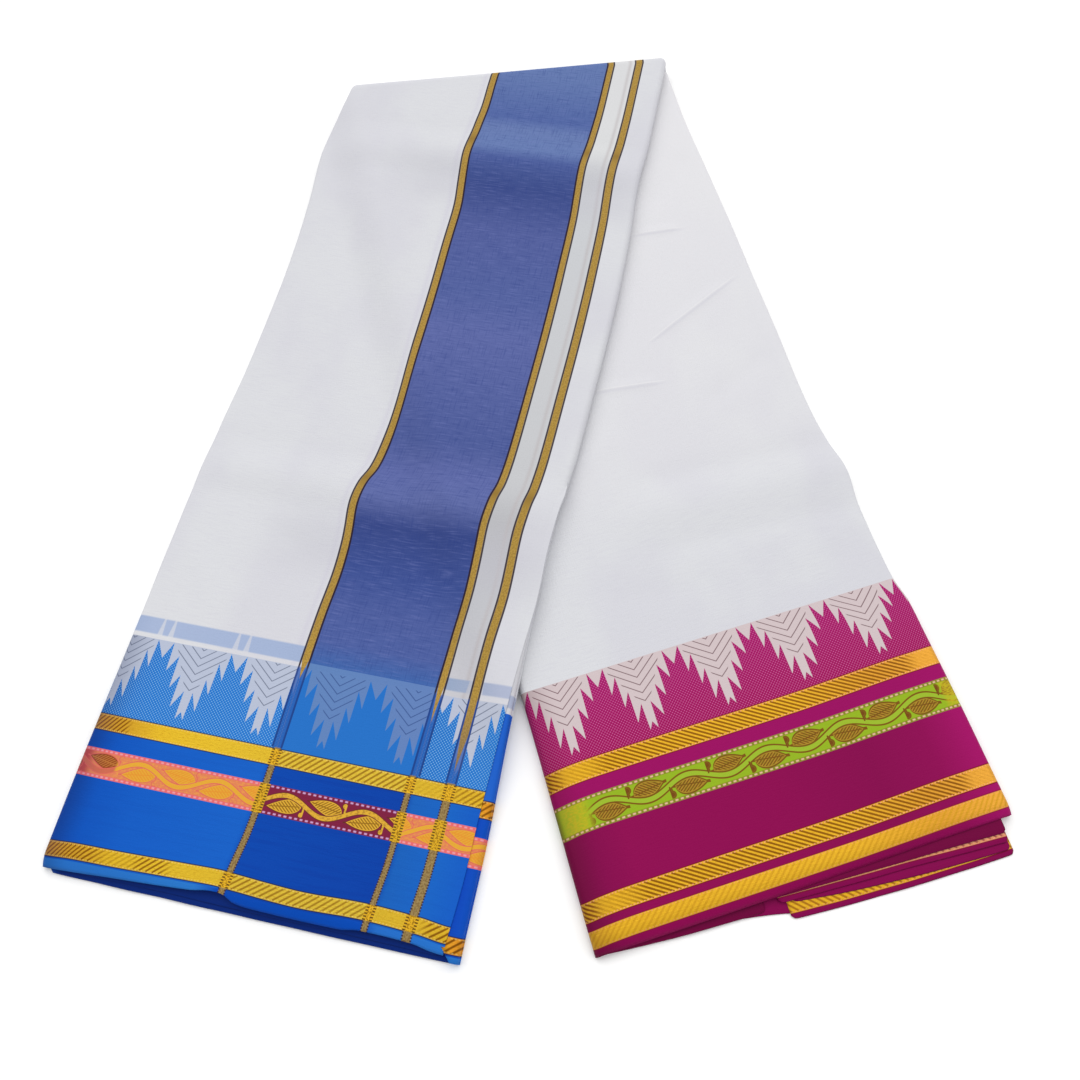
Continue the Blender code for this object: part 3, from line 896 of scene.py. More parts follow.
round_rings = ribbon_round_rings(reach_to_fold(BLUE_LEG, STRIP_WIDTH / 2))
ribbon = rings_up(BLUE_LEG) + round_rings + rings_up(MAGENTA_LEG)[::-1]
print("rings of the ribbon", len(ribbon))

# %% [markdown]
# Rings of points become a closed solid: faces join each ring to the next, and a cap closes each end.
# Blender could skin such rings with a modifier, but then the places in the weave would be lost.

# %% A closed solid through rings
def closed_object(name, rings):
    """A closed solid through rings of points, with its two ends filled."""
    mesh = bmesh.new()
    uv_layer = mesh.loops.layers.uv.new("cloth")
    vertices = [[mesh.verts.new(point) for point in ring.points] for ring in rings]
    count = len(vertices[0])
    for i in range(len(rings) - 1):
        for k in range(count):
            n = (k + 1) % count
            corners = (vertices[i][k], vertices[i][n], vertices[i + 1][n], vertices[i + 1][k])
            mesh.faces.new(corners).material_index = rings[i].mark
    ends = [mesh.faces.new(vertices[0][::-1]), mesh.faces.new(vertices[-1])]
    ends[1].material_index = rings[-1].mark
    bmesh.ops.triangulate(mesh, faces=ends)
    bmesh.ops.recalc_face_normals(mesh, faces=mesh.faces)
    smooth_in_weave(mesh, uv_layer, vertices, [ring.weave for ring in rings])
    return object_from(mesh, name)


inner_plies = closed_object("folded_plies", ribbon)
print("ribbon faces", len(inner_plies.data.polygons))

# %% [markdown]
# At each hem the lower plies stop where they happen to, and some stick out past the top one. Each is
# a thin strip that sags from its place in the stack down to its own edge. The rows give the ones
# that the photo shows, and then a few that only show from the side, so that the stack looks like
# sixteen plies and not like a board.

# %% Plies that show at the hems
HemPly = namedtuple(
    "HemPly", "name leg start end past past_mid past_end root tip wall weave_from weave_across"
)
# A weave_across of -600 puts a ply in the stretch of the weave that gets painted shade.
HEM_PLIES = (
    HemPly("blue_under_ply", "blue", 6.0, 242.5, 4.0, 4.3, 3.9, 3.0, 2.1, 0.9, 20, 0),
    HemPly("blue_stack_a", "blue", 3.0, 234.0, -4.6, -7.0, -4.2, 6.9, 6.0, 0.6, 20, 0),
    HemPly("blue_stack_b", "blue", 3.4, 235.0, -1.5, -5.8, -2.4, 5.9, 4.6, 0.6, 20, 0),
    HemPly("blue_stack_c", "blue", 2.6, 236.0, 1.2, 1.2, 1.6, 4.6, 3.3, 0.6, 20, 0),
    HemPly("magenta_under_ply", "magenta", 1.6, 96.0, 1.6, 5.4, 7.4, 4.4, 2.2, 0.9, 30, -600),
    HemPly("magenta_low_ply", "magenta", 80.0, 113.0, 6.6, 9.6, 13.6, 2.2, 1.1, 0.6, 30, 0),
    HemPly("magenta_shaded_ply", "magenta", 100.0, 237.5, 2.2, 5.4, 8.3, 6.4, 4.9, 0.6, 30, -600),
    HemPly("magenta_second_ply", "magenta", 104.0, 237.0, 5.8, 9.4, 13.4, 5.4, 3.4, 0.8, 0, -300),
    HemPly("magenta_inner_ply", "magenta", 111.0, 236.5, 7.4, 14.2, 17.2, 4.0, 2.2, 0.5, 30, 0),
    HemPly("magenta_third_ply", "magenta", 108.0, 238.0, 15.6, 19.2, 20.2, 2.4, 1.3, 0.9, 0, 0),
    HemPly("magenta_stack_a", "magenta", 3.0, 242.5, -2.6, -3.0, -3.8, 7.0, 6.4, 0.5, 30, -600),
    HemPly("magenta_stack_b", "magenta", 3.2, 98.0, -0.6, -1.2, -1.4, 5.9, 4.6, 0.6, 30, -600),
)
print("hem plies", len(HEM_PLIES))

# %% [markdown]
# The edge of a ply that sticks out wanders a little, and its two corners are rounded off. Each ply
# has its own seed for that, so that no two edges run alike. A straight edge would look like card.

# %% The edge of a hem ply
HEM_WANDER = 0.35
HEM_WANDERS_PER_METRE = 30
SEED_SPREAD = 10
CORNER_ROUND = 3.5
CORNER_CUT = 1.8


def seed_of(ply):
    return ply.root + SEED_SPREAD * ply.past


def hem_past(ply, across, share):
    """How far a ply's woven edge sticks out past the hem, in millimetres."""
    bulge = ply.past_mid - (ply.past + ply.past_end) / 2
    past = mix(ply.past, ply.past_end, share) + 4 * share * (1 - share) * bulge
    place = Vector((across * HEM_WANDERS_PER_METRE, seed_of(ply), 0.0))
    return past + HEM_WANDER * noise.noise(place)


def corner_cut(ply, share):
    """How much of that is rounded off near the ply's two corners."""
    from_end = min(share, 1 - share) * (ply.end - ply.start)
    short = max(1 - from_end / CORNER_ROUND, 0.0)
    return CORNER_CUT * (1 - math.sqrt(1 - short * short))


print("corners of the hem plies rounded over", CORNER_ROUND, "mm")

# %% [markdown]
# Each ply is cut in sections across. A section is a thin ring from its root in the stack, sagging to
# its rounded tip and back beneath, and it ruffles a little more the nearer it is to the tip.

# %% Sections of a hem ply
HEM_SECTIONS = 90
HEM_ROOT = 9.6 * MM
HEM_RUFFLE = 0.35 * MM
HEM_RUFFLES_PER_METRE = 45
RUFFLE_LEVEL = 3.0
SAG_CURVE = 0.7
SAG_SLOPE = 0.3
OFF_THE_FLOOR = 0.02 * MM
HemPoint = namedtuple("HemPoint", "run below")
HEM_SECTION = (
    HemPoint(0, 0),
    HemPoint(0.3, 0),
    HemPoint(0.6, 0),
    HemPoint(0.85, 0),
    HemPoint(0.97, 0.1),
    HemPoint(1, 0.5),
    HemPoint(0.97, 0.9),
    HemPoint(0.85, 1),
    HemPoint(0.6, 1),
    HemPoint(0.3, 1),
    HemPoint(0, 1),
)


def hem_ring(ply, leg, share):
    """One section of a ply, from its root over its tip and back beneath."""
    across = mix(ply.start, ply.end, share) * MM
    past = hem_past(ply, across, share)
    woven_tip = -past * MM
    reach = HEM_ROOT + (past - corner_cut(ply, share)) * MM
    ruffle_at = Vector((across * HEM_RUFFLES_PER_METRE, seed_of(ply), RUFFLE_LEVEL))
    ruffle = HEM_RUFFLE * noise.noise(ruffle_at)
    points = []
    weave = []
    for run, below in HEM_SECTION:
        sag = mix(ply.root, ply.tip, smooth(run) * SAG_CURVE + SAG_SLOPE * run)
        height = max(sag - ply.wall * below, 0.0) * MM + ruffle * run
        at = HEM_ROOT - run * reach
        points.append(on_leg(leg, across, at, max(height, OFF_THE_FLOOR), "plies_right"))
        weave.append((ply.weave_across * MM - across, at - woven_tip + ply.weave_from * MM))
    return Ring(points, weave, FIRST_MARK)


def hem_ply(ply):
    """A thin strip from the ribbon's end to its own hem."""
    leg = BLUE_LEG if ply.leg == "blue" else MAGENTA_LEG
    rings = [hem_ring(ply, leg, k / HEM_SECTIONS) for k in range(HEM_SECTIONS + 1)]
    return closed_object(ply.name + "_cloth", rings)


hem_pieces = {ply.name: hem_ply(ply) for ply in HEM_PLIES}
print("sections of each", HEM_SECTIONS)

# %% [markdown]
# The colours of this cloth are woven, so they follow the threads wherever the cloth is folded. A
# painted picture could do that too, but it would hold only as much detail as its pixels. Here each
# band, point and leaf is worked out by the material from two numbers, across and along in the
# weave, so it stays sharp from close by. A small class lets those numbers be written as plain sums.

# %% Numbers that a material works out
class Field:
    """A number that the material works out at each point of the cloth."""

    def __init__(self, tree, socket):
        self.tree = tree
        self.socket = socket

    def __add__(self, other):
        return maths("ADD", self, other)

    def __sub__(self, other):
        return maths("SUBTRACT", self, other)

    def __rsub__(self, other):
        return maths("SUBTRACT", other, self)

    def __mul__(self, other):
        return maths("MULTIPLY", self, other)

    def __abs__(self):
        return maths("ABSOLUTE", self)


def plug(tree, value, socket):
    if isinstance(value, Field):
        tree.links.new(value.socket, socket)
    else:
        socket.default_value = value


def maths(operation, *values):
    """One sum on fields or plain numbers."""
    tree = next(value.tree for value in values if isinstance(value, Field))
    node = tree.nodes.new("ShaderNodeMath")
    node.operation = operation
    for value, socket in zip(values, node.inputs):
        plug(tree, value, socket)
    return Field(tree, node.outputs[0])


print("sums on fields ready")

# %% [markdown]
# Three more sums are needed again and again: bringing one range of numbers to another, and taking the
# most or the least of several, which joins shapes or leaves what they share.

# %% Ranges, the most and the least
def map_range(field, low, high, to_low, to_high, kind="LINEAR"):
    node = field.tree.nodes.new("ShaderNodeMapRange")
    node.interpolation_type = kind
    for value, socket in zip((field, low, high, to_low, to_high), node.inputs):
        plug(field.tree, value, socket)
    return Field(field.tree, node.outputs[0])


def most(*fields):
    result = fields[0]
    for field in fields[1:]:
        result = maths("MAXIMUM", result, field)
    return result


def least(*fields):
    result = fields[0]
    for field in fields[1:]:
        result = maths("MINIMUM", result, field)
    return result


print("ranges ready")

# %% [markdown]
# Every pattern here is built of masks: numbers that are 1 inside a shape and 0 outside it, with a rim
# as soft as a thread. A step, a strip and a repeat are enough for the whole weave.

# %% Masks
SOFT = 0.3


def rising(field, low, high):
    """A soft step from 0 to 1."""
    return map_range(field, low, high, 0.0, 1.0, "SMOOTHSTEP")


def above(field, level, soft=SOFT):
    return rising(field, level - soft / 2, level + soft / 2)


def below(field, level, soft=SOFT):
    return rising(field, level + soft / 2, level - soft / 2)


def within(field, middle, half, soft=SOFT):
    return below(abs(field - middle), half, soft)


def between(field, low, high, soft=SOFT):
    return within(field, (low + high) / 2, (high - low) / 2, soft)


def repeat(field, pitch):
    """How far a point is from the middle of the repeat that it lies in."""
    return maths("WRAP", field, pitch / 2, -pitch / 2)


def wave(field, pitch):
    """A wave between -1 and 1 with its tops one pitch apart."""
    return maths("COSINE", field * (2 * math.pi / pitch))


print("soft rim", SOFT, "mm")

# %% [markdown]
# Each dye is written as the colour that it shows under these lamps, from 0 to 255, because that is
# what the eye compares. The thread's own colour is worked out from it. Coats of dye are then laid
# one over another through masks, each as strong as it has to be.

# %% Dyes and coats
LIGHT_GAIN = 1.12
SHINE_ALLOWANCE = 0.006
DARKEST_SHARE = 0.04045
DARK_SLOPE = 12.92
SCREEN_OFFSET = 0.055
SCREEN_POWER = 2.4
MIX_UNDER = 6
MIX_OVER = 7
Coat = namedtuple("Coat", "dye mask strength", defaults=(1.0,))


def dye(red, green, blue):
    """The thread's own colour, from the colour that it has under the soft lamps."""
    colour = []
    for value in (red, green, blue):
        share = value / 255
        if share < DARKEST_SHARE:
            linear = share / DARK_SLOPE
        else:
            linear = ((share + SCREEN_OFFSET) / (1 + SCREEN_OFFSET)) ** SCREEN_POWER
        colour.append(max(linear - SHINE_ALLOWANCE, 0.0) / LIGHT_GAIN)
    return (*colour, 1.0)


def paint(under, colour, mask):
    """A colour laid over another where the mask is 1."""
    node = mask.tree.nodes.new("ShaderNodeMix")
    node.data_type = "RGBA"
    plug(mask.tree, mask, node.inputs[0])
    plug(mask.tree, under, node.inputs[MIX_UNDER])
    plug(mask.tree, colour, node.inputs[MIX_OVER])
    return Field(mask.tree, node.outputs[2])


def coats(under, *layers):
    """Coats of dye laid one over another, each through its own mask."""
    for coat in layers:
        under = paint(under, coat.dye, coat.mask * coat.strength)
    return under


print("light gain", LIGHT_GAIN)

# %% [markdown]
# A dye may also change from place to place, where the cloth turns away from the light or another
# thread comes in. A row of stops says which dye is where, and a chart does the same for a plain
# number. Both are read between their rows, so they stay short.

# %% Stops and charts
Stop = namedtuple("Stop", "place red green blue")
ChartPoint = namedtuple("ChartPoint", "place value")


def colour_by(field, stops):
    """A dye that changes with a field, from stop to stop."""
    low = stops[0].place
    high = stops[-1].place
    node = field.tree.nodes.new("ShaderNodeValToRGB")
    elements = node.color_ramp.elements
    for k, stop in enumerate(stops):
        element = elements[k] if k < 2 else elements.new(1.0)
        element.position = (stop.place - low) / (high - low)
        element.color = dye(stop.red, stop.green, stop.blue)
    plug(field.tree, map_range(field, low, high, 0.0, 1.0), node.inputs[0])
    return Field(field.tree, node.outputs[0])


def chart(field, points, top=1.0):
    """A number read from a chart, with straight lines between its points."""
    low = points[0].place
    high = points[-1].place
    node = field.tree.nodes.new("ShaderNodeFloatCurve")
    curve = node.mapping.curves[0]
    for k, (place, value) in enumerate(points):
        where = ((place - low) / (high - low), value / top)
        if k == 0:
            curve.points[0].location = where
        elif k == len(points) - 1:
            curve.points[len(curve.points) - 1].location = where
        else:
            curve.points.new(*where)
    for point in curve.points:
        point.handle_type = "VECTOR"
    node.mapping.update()
    plug(field.tree, map_range(field, low, high, 0.0, 1.0), node.inputs[1])
    return Field(field.tree, node.outputs[0]) * top


print("a stop has", Stop._fields)

# %% [markdown]
# A material needs to know where it is in the weave. The sheets carry that as a map of across and
# along, so the threads bend with the cloth. Real threads are never all alike, and noise stretched
# along them gives the slubs, clouds and flecks that tell woven cloth from plain plastic.

# %% Places and threads in the weave
def weave_axes(tree):
    """Across and along in the weave, in millimetres."""
    places = tree.nodes.new("ShaderNodeUVMap")
    places.uv_map = "cloth"
    split = tree.nodes.new("ShaderNodeSeparateXYZ")
    tree.links.new(places.outputs[0], split.inputs[0])
    return Field(tree, split.outputs[0]) * (1 / MM), Field(tree, split.outputs[1]) * (1 / MM)


def thread_noise(u, v, across_size, along_size, detail):
    """Unevenness of the threads, as blots of a size across and a size along."""
    tree = u.tree
    join = tree.nodes.new("ShaderNodeCombineXYZ")
    plug(tree, u * (1 / across_size), join.inputs[0])
    plug(tree, v * (1 / along_size), join.inputs[1])
    node = tree.nodes.new("ShaderNodeTexNoise")
    node.noise_dimensions = "2D"
    node.inputs["Scale"].default_value = 1.0
    node.inputs["Detail"].default_value = detail
    tree.links.new(join.outputs[0], node.inputs["Vector"])
    return Field(tree, node.outputs[0])


Blots = namedtuple("Blots", "across along low high detail", defaults=(2.0,))


def blots(u, v, kind):
    """A mask of one kind of blots: their size both ways, and the noise that they start and end at."""
    return rising(thread_noise(u, v, kind.across, kind.along, kind.detail), kind.low, kind.high)


print("the weave is measured in steps of", MM, "m")

# %% [markdown]
# The row of points is called a temple border, after a line of temple towers. Every point is the same
# stepped shape, so one chart of its outline is enough: how deep the white reaches at each distance
# from its middle. Fine zigzag lines run inside it. Weavers chart such a motif on squared paper.

# %% Temple points
Temple = namedtuple("Temple", "base pitch middle flip stretch")
TEMPLE_OUTLINE = (
    ChartPoint(-24.1, 10.4),
    ChartPoint(-17.8, 0.0),
    ChartPoint(-17.6, 17.3),
    ChartPoint(-12.6, 7.3),
    ChartPoint(-12.4, 26.8),
    ChartPoint(-8.1, 18.0),
    ChartPoint(-7.9, 37.5),
    ChartPoint(-2.8, 27.0),
    ChartPoint(-2.5, 43.5),
    ChartPoint(0.0, 39.0),
    ChartPoint(2.5, 43.5),
    ChartPoint(2.8, 27.0),
    ChartPoint(8.2, 37.5),
    ChartPoint(8.5, 18.0),
    ChartPoint(12.9, 26.8),
    ChartPoint(13.6, 7.3),
    ChartPoint(18.7, 17.3),
    ChartPoint(19.8, 0.0),
    ChartPoint(24.1, 10.4),
)
TEMPLE_CHART_TOP = 50.0
ZIGZAG_SLOPE = 0.76
ZIGZAG_PITCH = 4.9
ZIGZAG_LOWEST = 26.1
ZIGZAG_HALF_WIDTH = 0.34
ZIGZAG_SIDE_SLOPE = 1.69
ZIGZAG_SIDE_TOP = 31.0
ZIGZAG_LAST = 1.0
ZIGZAG_FROM_BASE = 0.4
TEMPLE_SOFT = 0.5
DOT_PERIOD = 2.0
DOT_FROM = 1.32
DOT_SOFT = 0.7


def temple_masks(w, v, temple):
    """Where the white points lie, and where the zigzag lines lie in them."""
    aside = repeat(w - temple.middle, temple.pitch) * temple.flip
    depth = (temple.base - v) * (1 / temple.stretch)
    inside = above(chart(aside, TEMPLE_OUTLINE, TEMPLE_CHART_TOP) - depth, 0.0, TEMPLE_SOFT)
    zigzag = depth + abs(aside) * ZIGZAG_SLOPE
    lines = within(repeat(zigzag - ZIGZAG_LOWEST, ZIGZAG_PITCH), 0.0, ZIGZAG_HALF_WIDTH)
    in_sides = above(ZIGZAG_SIDE_TOP - abs(aside) * ZIGZAG_SIDE_SLOPE - depth, 0.0)
    lines = lines * below(zigzag, ZIGZAG_LOWEST + ZIGZAG_LAST) * in_sides
    return inside, lines * above(depth, ZIGZAG_FROM_BASE)


def pin_dots(u, v):
    """Small dots in staggered rows."""
    return above(abs(wave(u, DOT_PERIOD) + wave(v, DOT_PERIOD)), DOT_FROM, DOT_SOFT)


print("points of the temple outline", len(TEMPLE_OUTLINE))

# %% [markdown]
# The gold bands are woven in a twill, so slanting lines run over them. The lines are dark where the
# thread beneath shows, and they fade where the weave is pulled tight, as the charts say. Pale dots
# line both rims. All bands of one border share one sum, the distance from the nearest band.

# %% Gold bands
Twill = namedtuple("Twill", "pitch slant half_width")
BLUE_TWILL = Twill(4.1, -1.1, 0.85)
MAGENTA_TWILL = Twill(3.9, 1.5, 1.0)
EDGE_TWILL = Twill(3.9, -1.1, 0.85)
TWILL_SOFT = 1.0
TWILL_INSIDE = 0.35
TWILL_END_SOFT = 0.5
RIM_OUTSIDE = 0.25
RIM_HALF = 0.35
RIM_DOT_PITCH = 1.95
RIM_DOT_SOFT = 0.8
RIM_DOTS_INSIDE = 0.55
RIM_DOT_HALF = 0.3
DULL_FLECKS = Blots(2.6, 0.7, 0.5, 0.8)
DULL_STRENGTH = 0.5
BandMasks = namedtuple("BandMasks", "band rim twill dots")
GoldDyes = namedtuple("GoldDyes", "rim rim_strength twill twill_strength dots dots_strength")


def gold_band_masks(u, v, bands, weave, strength):
    """Masks of the bands, their thin outlines, their twill lines and their rim dots."""
    edge = least(*(abs(v - (low + high) / 2) - (high - low) / 2 for low, high in bands))
    twill = within(repeat(u + v * weave.slant, weave.pitch), 0.0, weave.half_width, TWILL_SOFT)
    twill = twill * strength * below(edge, -TWILL_INSIDE, TWILL_END_SOFT)
    dots = above(wave(u, RIM_DOT_PITCH), 0.0, RIM_DOT_SOFT)
    dots = dots * within(edge, -RIM_DOTS_INSIDE, RIM_DOT_HALF)
    return BandMasks(below(edge, 0.0), within(edge, RIM_OUTSIDE, RIM_HALF), twill, dots)


def gold_thread(u, v, bright, dull):
    """Gold thread, with short dull flecks where the cotton core shows."""
    return paint(bright, dull, blots(u, v, DULL_FLECKS) * DULL_STRENGTH)


def lay_gold(colour, masks, gold, dyes):
    """Lays gold bands over a colour: thin outlines, gold, its twill lines, then the rim dots."""
    return coats(
        colour,
        Coat(dyes.rim, masks.rim, dyes.rim_strength),
        Coat(gold, masks.band),
        Coat(dyes.twill, masks.twill, dyes.twill_strength),
        Coat(dyes.dots, masks.dots, dyes.dots_strength),
    )


print("twill lines every", MAGENTA_TWILL.pitch, "mm")

# %% [markdown]
# The narrow band between the gold ones carries a leaf vine. A wavy stem runs along it, and leaves
# lie above and below in turn. Each half wave is the one before it turned over, so one leaf, one bud
# and one wave are enough to draw the whole vine. A leaf stops where it meets the stem.

# %% Leaf vine
Vine = namedtuple(
    "Vine", "low high pitch lower_leaf flip leaf_start leaf_length leaf_half swing outline dot_pitch"
)
VineMasks = namedtuple("VineMasks", "band stem leaf bud outline veins dots rim")
STEM_HALF_WIDTH = 1.3
LEAF_FULLNESS = 2.6
LEAF_TILT = 0.15
LEAF_BELOW = 2.0
BUD_AT = (11.0, -4.9)
BUD_RADIUS = 1.35
STALK_AT = (11.6, -2.7)
STALK_HALF = (0.55, 2.4)
HATCH_PITCH = 1.7
HATCH_SLOPE = 0.75
HATCH_HALF = 0.42
SPINE_HALF = 0.3
LEAF_SHRINK = 0.1
VEINS_INSIDE = 0.5
VINE_SOFT = 0.5
RIM_FROM_EDGE = 1.0
VINE_RIM_HALF = 0.95
VINE_DOT_HALF = (0.85, 0.5)
VINE_DOT_SOFT = 0.6


def vine_masks(w, v, vine):
    """Masks of the band, and of each part of the vine in it."""
    y = v - (vine.low + vine.high) / 2
    half = (vine.high - vine.low) / 2
    swing = wave(w - vine.lower_leaf, vine.pitch)
    x = repeat(w - vine.lower_leaf, vine.pitch / 2) * vine.flip
    turned = y * maths("SIGN", swing)

    stem = STEM_HALF_WIDTH - abs(y - swing * vine.swing)
    share = map_range(x, vine.leaf_start, vine.leaf_start + vine.leaf_length, 0.0, 1.0)
    height = share * maths("SQRT", 1 - share) * (LEAF_FULLNESS * vine.leaf_half)
    from_spine = turned + LEAF_BELOW - x * LEAF_TILT
    leaf = least(height - abs(from_spine) - LEAF_SHRINK, (stem + vine.outline) * -1.0)
    across_bud = maths("POWER", abs(x - BUD_AT[0]), 2.0)
    along_bud = maths("POWER", abs(turned - BUD_AT[1]), 2.0)
    bud = BUD_RADIUS - maths("SQRT", across_bud + along_bud)
    stalk = (half_size - abs(place - middle) for half_size, place, middle in
             zip(STALK_HALF, (x, turned), STALK_AT))
    bud = most(bud, least(*stalk))

    outline = within(most(stem, leaf, bud), -vine.outline / 2, vine.outline / 2)
    hatch = within(repeat(x * HATCH_SLOPE + turned, HATCH_PITCH), 0.0, HATCH_HALF, VINE_SOFT)
    veins = above(leaf, VEINS_INSIDE) * most(hatch, within(from_spine, 0.0, SPINE_HALF))
    at_rim = half - RIM_FROM_EDGE
    dots = within(repeat(w, vine.dot_pitch), 0.0, VINE_DOT_HALF[0], VINE_DOT_SOFT)
    dots = dots * within(abs(y), at_rim, VINE_DOT_HALF[1], VINE_SOFT)
    rim = within(abs(y), at_rim, VINE_RIM_HALF, VINE_SOFT)
    parts = (within(y, 0.0, half), above(stem, 0.0), above(leaf, 0.0), above(bud, 0.0))
    return VineMasks(*parts, outline, veins, dots, rim)


print("leaf hatch every", HATCH_PITCH, "mm")

# %% [markdown]
# Three gold lines run the length of the blue end, and a blue panel lies between two of them. Where
# they enter the border they taper off into the blue, and go on below as thin bronze cords. Dark
# threads edge each line. One row of the table holds each line's places and where its gold ends.

# %% Gold lines
Line = namedtuple("Line", "middle half cord_middle cord_half gold_ends tip")
LineMasks = namedtuple("LineMasks", "gold edges strips cords cord_edges")
GOLD_LINES = (
    Line(116.15, 3.35, 116.9, 1.95, 144.0, 132.0),
    Line(202.7, 3.1, 201.4, 1.75, 145.0, 121.0),
    Line(224.7, 3.5, 225.0, 2.5, 118.0, 96.0),
)
LINE_EDGE = 1.2
EXTRA_REPEAT = 6.4
CORD_FROM = 89.0
STITCH_PITCH = 1.6
BORDER_WHITE_FROM = 139.0
PANEL_FROM = 117.0
PANEL_TO = 202.0
OLD_FOLDS = (272, 566)
STRIP_BLUE = dye(44, 96, 178)
EDGE_BLUE = dye(34, 56, 122)
BRONZE = dye(160, 136, 88)
BRONZE_SHADE = dye(118, 90, 52)
LINE_BROWN_AND_SHADE = dye(104, 76, 42)
EDGE_BROWN = dye(52, 38, 42)
LINE_GOLD_ALONG = (
    Stop(100, 146, 122, 88),
    Stop(142, 190, 154, 74),
    Stop(170, 182, 148, 72),
    Stop(600, 184, 150, 76),
)


def stretched(u):
    """Across as the motifs count it. Extra threads at each gold line widen the count there."""
    w = u
    for line in GOLD_LINES:
        start = line.middle - EXTRA_REPEAT / 2
        w = w + map_range(u, start, start + EXTRA_REPEAT, 0.0, EXTRA_REPEAT)
    return w


print("gold lines", len(GOLD_LINES))

# %% [markdown]
# The masks of the three lines are worked out in one loop and joined. Then the coats are laid: blue
# under the tapered tips, bronze for the cords, gold with painted shade across the old folds, and the
# dark threads beside them.

# %% Laying the gold lines
CORD_START_SOFT = 0.6
CORD_EDGE_HALF = 0.5
OLD_FOLD_HALF = 5.5
OLD_FOLD_SOFT = 15.0
WHITE_EDGE_SOFT = 3.0
MOTTLE = Blots(0.9, 1.2, 0.4, 0.62)
STITCH_FROM = -0.2
STITCH_DASH_SOFT = 0.9
EDGE_STRENGTH_IN_BLUE = 0.75
EDGE_STRENGTH_IN_WHITE = 0.95
MOTTLED_GOLD = 0.35
GOLD_CREASE_SHADE = 0.5
MOTTLED_CORD = 0.7


def line_masks(u, v):
    """Masks of the lines' gold and edges, the strips under their tips, the cords and their edges."""
    found = []
    border = rising(v, CORD_FROM + CORD_START_SOFT, CORD_FROM)
    for line in GOLD_LINES:
        distance = abs(u - line.middle)
        taper = map_range(v, line.tip, line.gold_ends, 0.0, line.half - LINE_EDGE)
        at_cord = abs(u - line.cord_middle)
        found.append((
            above(taper - distance, 0.0) * (1 - border),
            within(distance, line.half - LINE_EDGE / 2, LINE_EDGE / 2) * (1 - border),
            below(distance, line.half) * (1 - border),
            below(at_cord, line.cord_half) * border,
            within(at_cord, line.cord_half, CORD_EDGE_HALF) * border,
        ))
    return LineMasks(*(most(*masks) for masks in zip(*found)))


def add_lines(colour, u, v):
    """Lays the gold lines over a colour."""
    masks = line_masks(u, v)
    mottle = blots(u, v, MOTTLE)
    in_white = above(v, BORDER_WHITE_FROM, WHITE_EDGE_SOFT)
    # Painted shade browns the gold across the old folds, where the cloth turns away from the light.
    crease_shade = most(*(within(v, place, OLD_FOLD_HALF, OLD_FOLD_SOFT) for place in OLD_FOLDS))
    mottle_and_crease_shade = most(mottle * MOTTLED_GOLD, crease_shade * GOLD_CREASE_SHADE)
    gold = paint(colour_by(v, LINE_GOLD_ALONG), LINE_BROWN_AND_SHADE, mottle_and_crease_shade)
    edge_strength = map_range(in_white, 0.0, 1.0, EDGE_STRENGTH_IN_BLUE, EDGE_STRENGTH_IN_WHITE)
    dashes = above(wave(v, STITCH_PITCH), STITCH_FROM, STITCH_DASH_SOFT)
    return coats(
        colour,
        Coat(STRIP_BLUE, masks.strips * (1 - in_white), 0.85),
        Coat(paint(BRONZE, BRONZE_SHADE, mottle * MOTTLED_CORD), masks.cords),
        Coat(gold, masks.gold),
        Coat(paint(EDGE_BLUE, EDGE_BROWN, in_white), masks.edges, edge_strength),
        Coat(EDGE_BROWN, masks.cord_edges * dashes, 0.85),
    )


print("old folds at", OLD_FOLDS, "mm")

# %% [markdown]
# The plain cotton is white, with the faintest clouds and threads. On the magenta end three short
# lines were pressed in by a hand, each a thin ridge with a painted highlight on it and a soft painted
# shade below it. They are creases too, but so fine that this painted light and shade helps the shape
# to show them.

# %% White cotton and its pressed lines
WHITE = dye(221, 222, 226)
WHITE_SHADE = dye(212, 211, 220)
BRIGHT_WHITE = dye(233, 232, 235)
CLOUDS = Blots(60.0, 90.0, 0.35, 0.65)
SLUBS = Blots(14.0, 0.9, 0.4, 0.75)
WHITER_FROM = 215.0
WHITER_BEYOND = 290.0
WHITEST_AT = 560.0
WHITER_BY = 0.4
WHITEST_BY = 0.5
Pressed = namedtuple("Pressed", "across along to_across to_along")
PRESSED_LINES = (
    Pressed(156, 363, 228, 395),
    Pressed(173, 455, 207, 450),
    Pressed(107, 336, 154, 329),
)
PRESSED_FADE = 14.0
PRESSED_HIGHLIGHT = (0.0, 0.35, 0.9)
PRESSED_SHADE = (-2.0, 0.6, 3.0)


def white_cotton(u, v):
    """White cotton with the faintest clouds and threads."""
    return coats(
        WHITE,
        Coat(WHITE_SHADE, blots(u, v, CLOUDS), 0.5),
        Coat(WHITE_SHADE, blots(u, v, SLUBS), 0.3),
    )


def pressed_line(u, v, line):
    """Masks of a pressed line: the painted highlight on its thin ridge, and the painted shade below it.
    """
    run = math.hypot(line.to_across - line.across, line.to_along - line.along)
    right = (line.to_across - line.across) / run
    up = (line.to_along - line.along) / run
    on_line = (u - line.across) * right + (v - line.along) * up
    off_line = (v - line.along) * right - (u - line.across) * up
    ends = between(on_line, 0.0, run, PRESSED_FADE)
    return within(off_line, *PRESSED_HIGHLIGHT) * ends, within(off_line, *PRESSED_SHADE) * ends


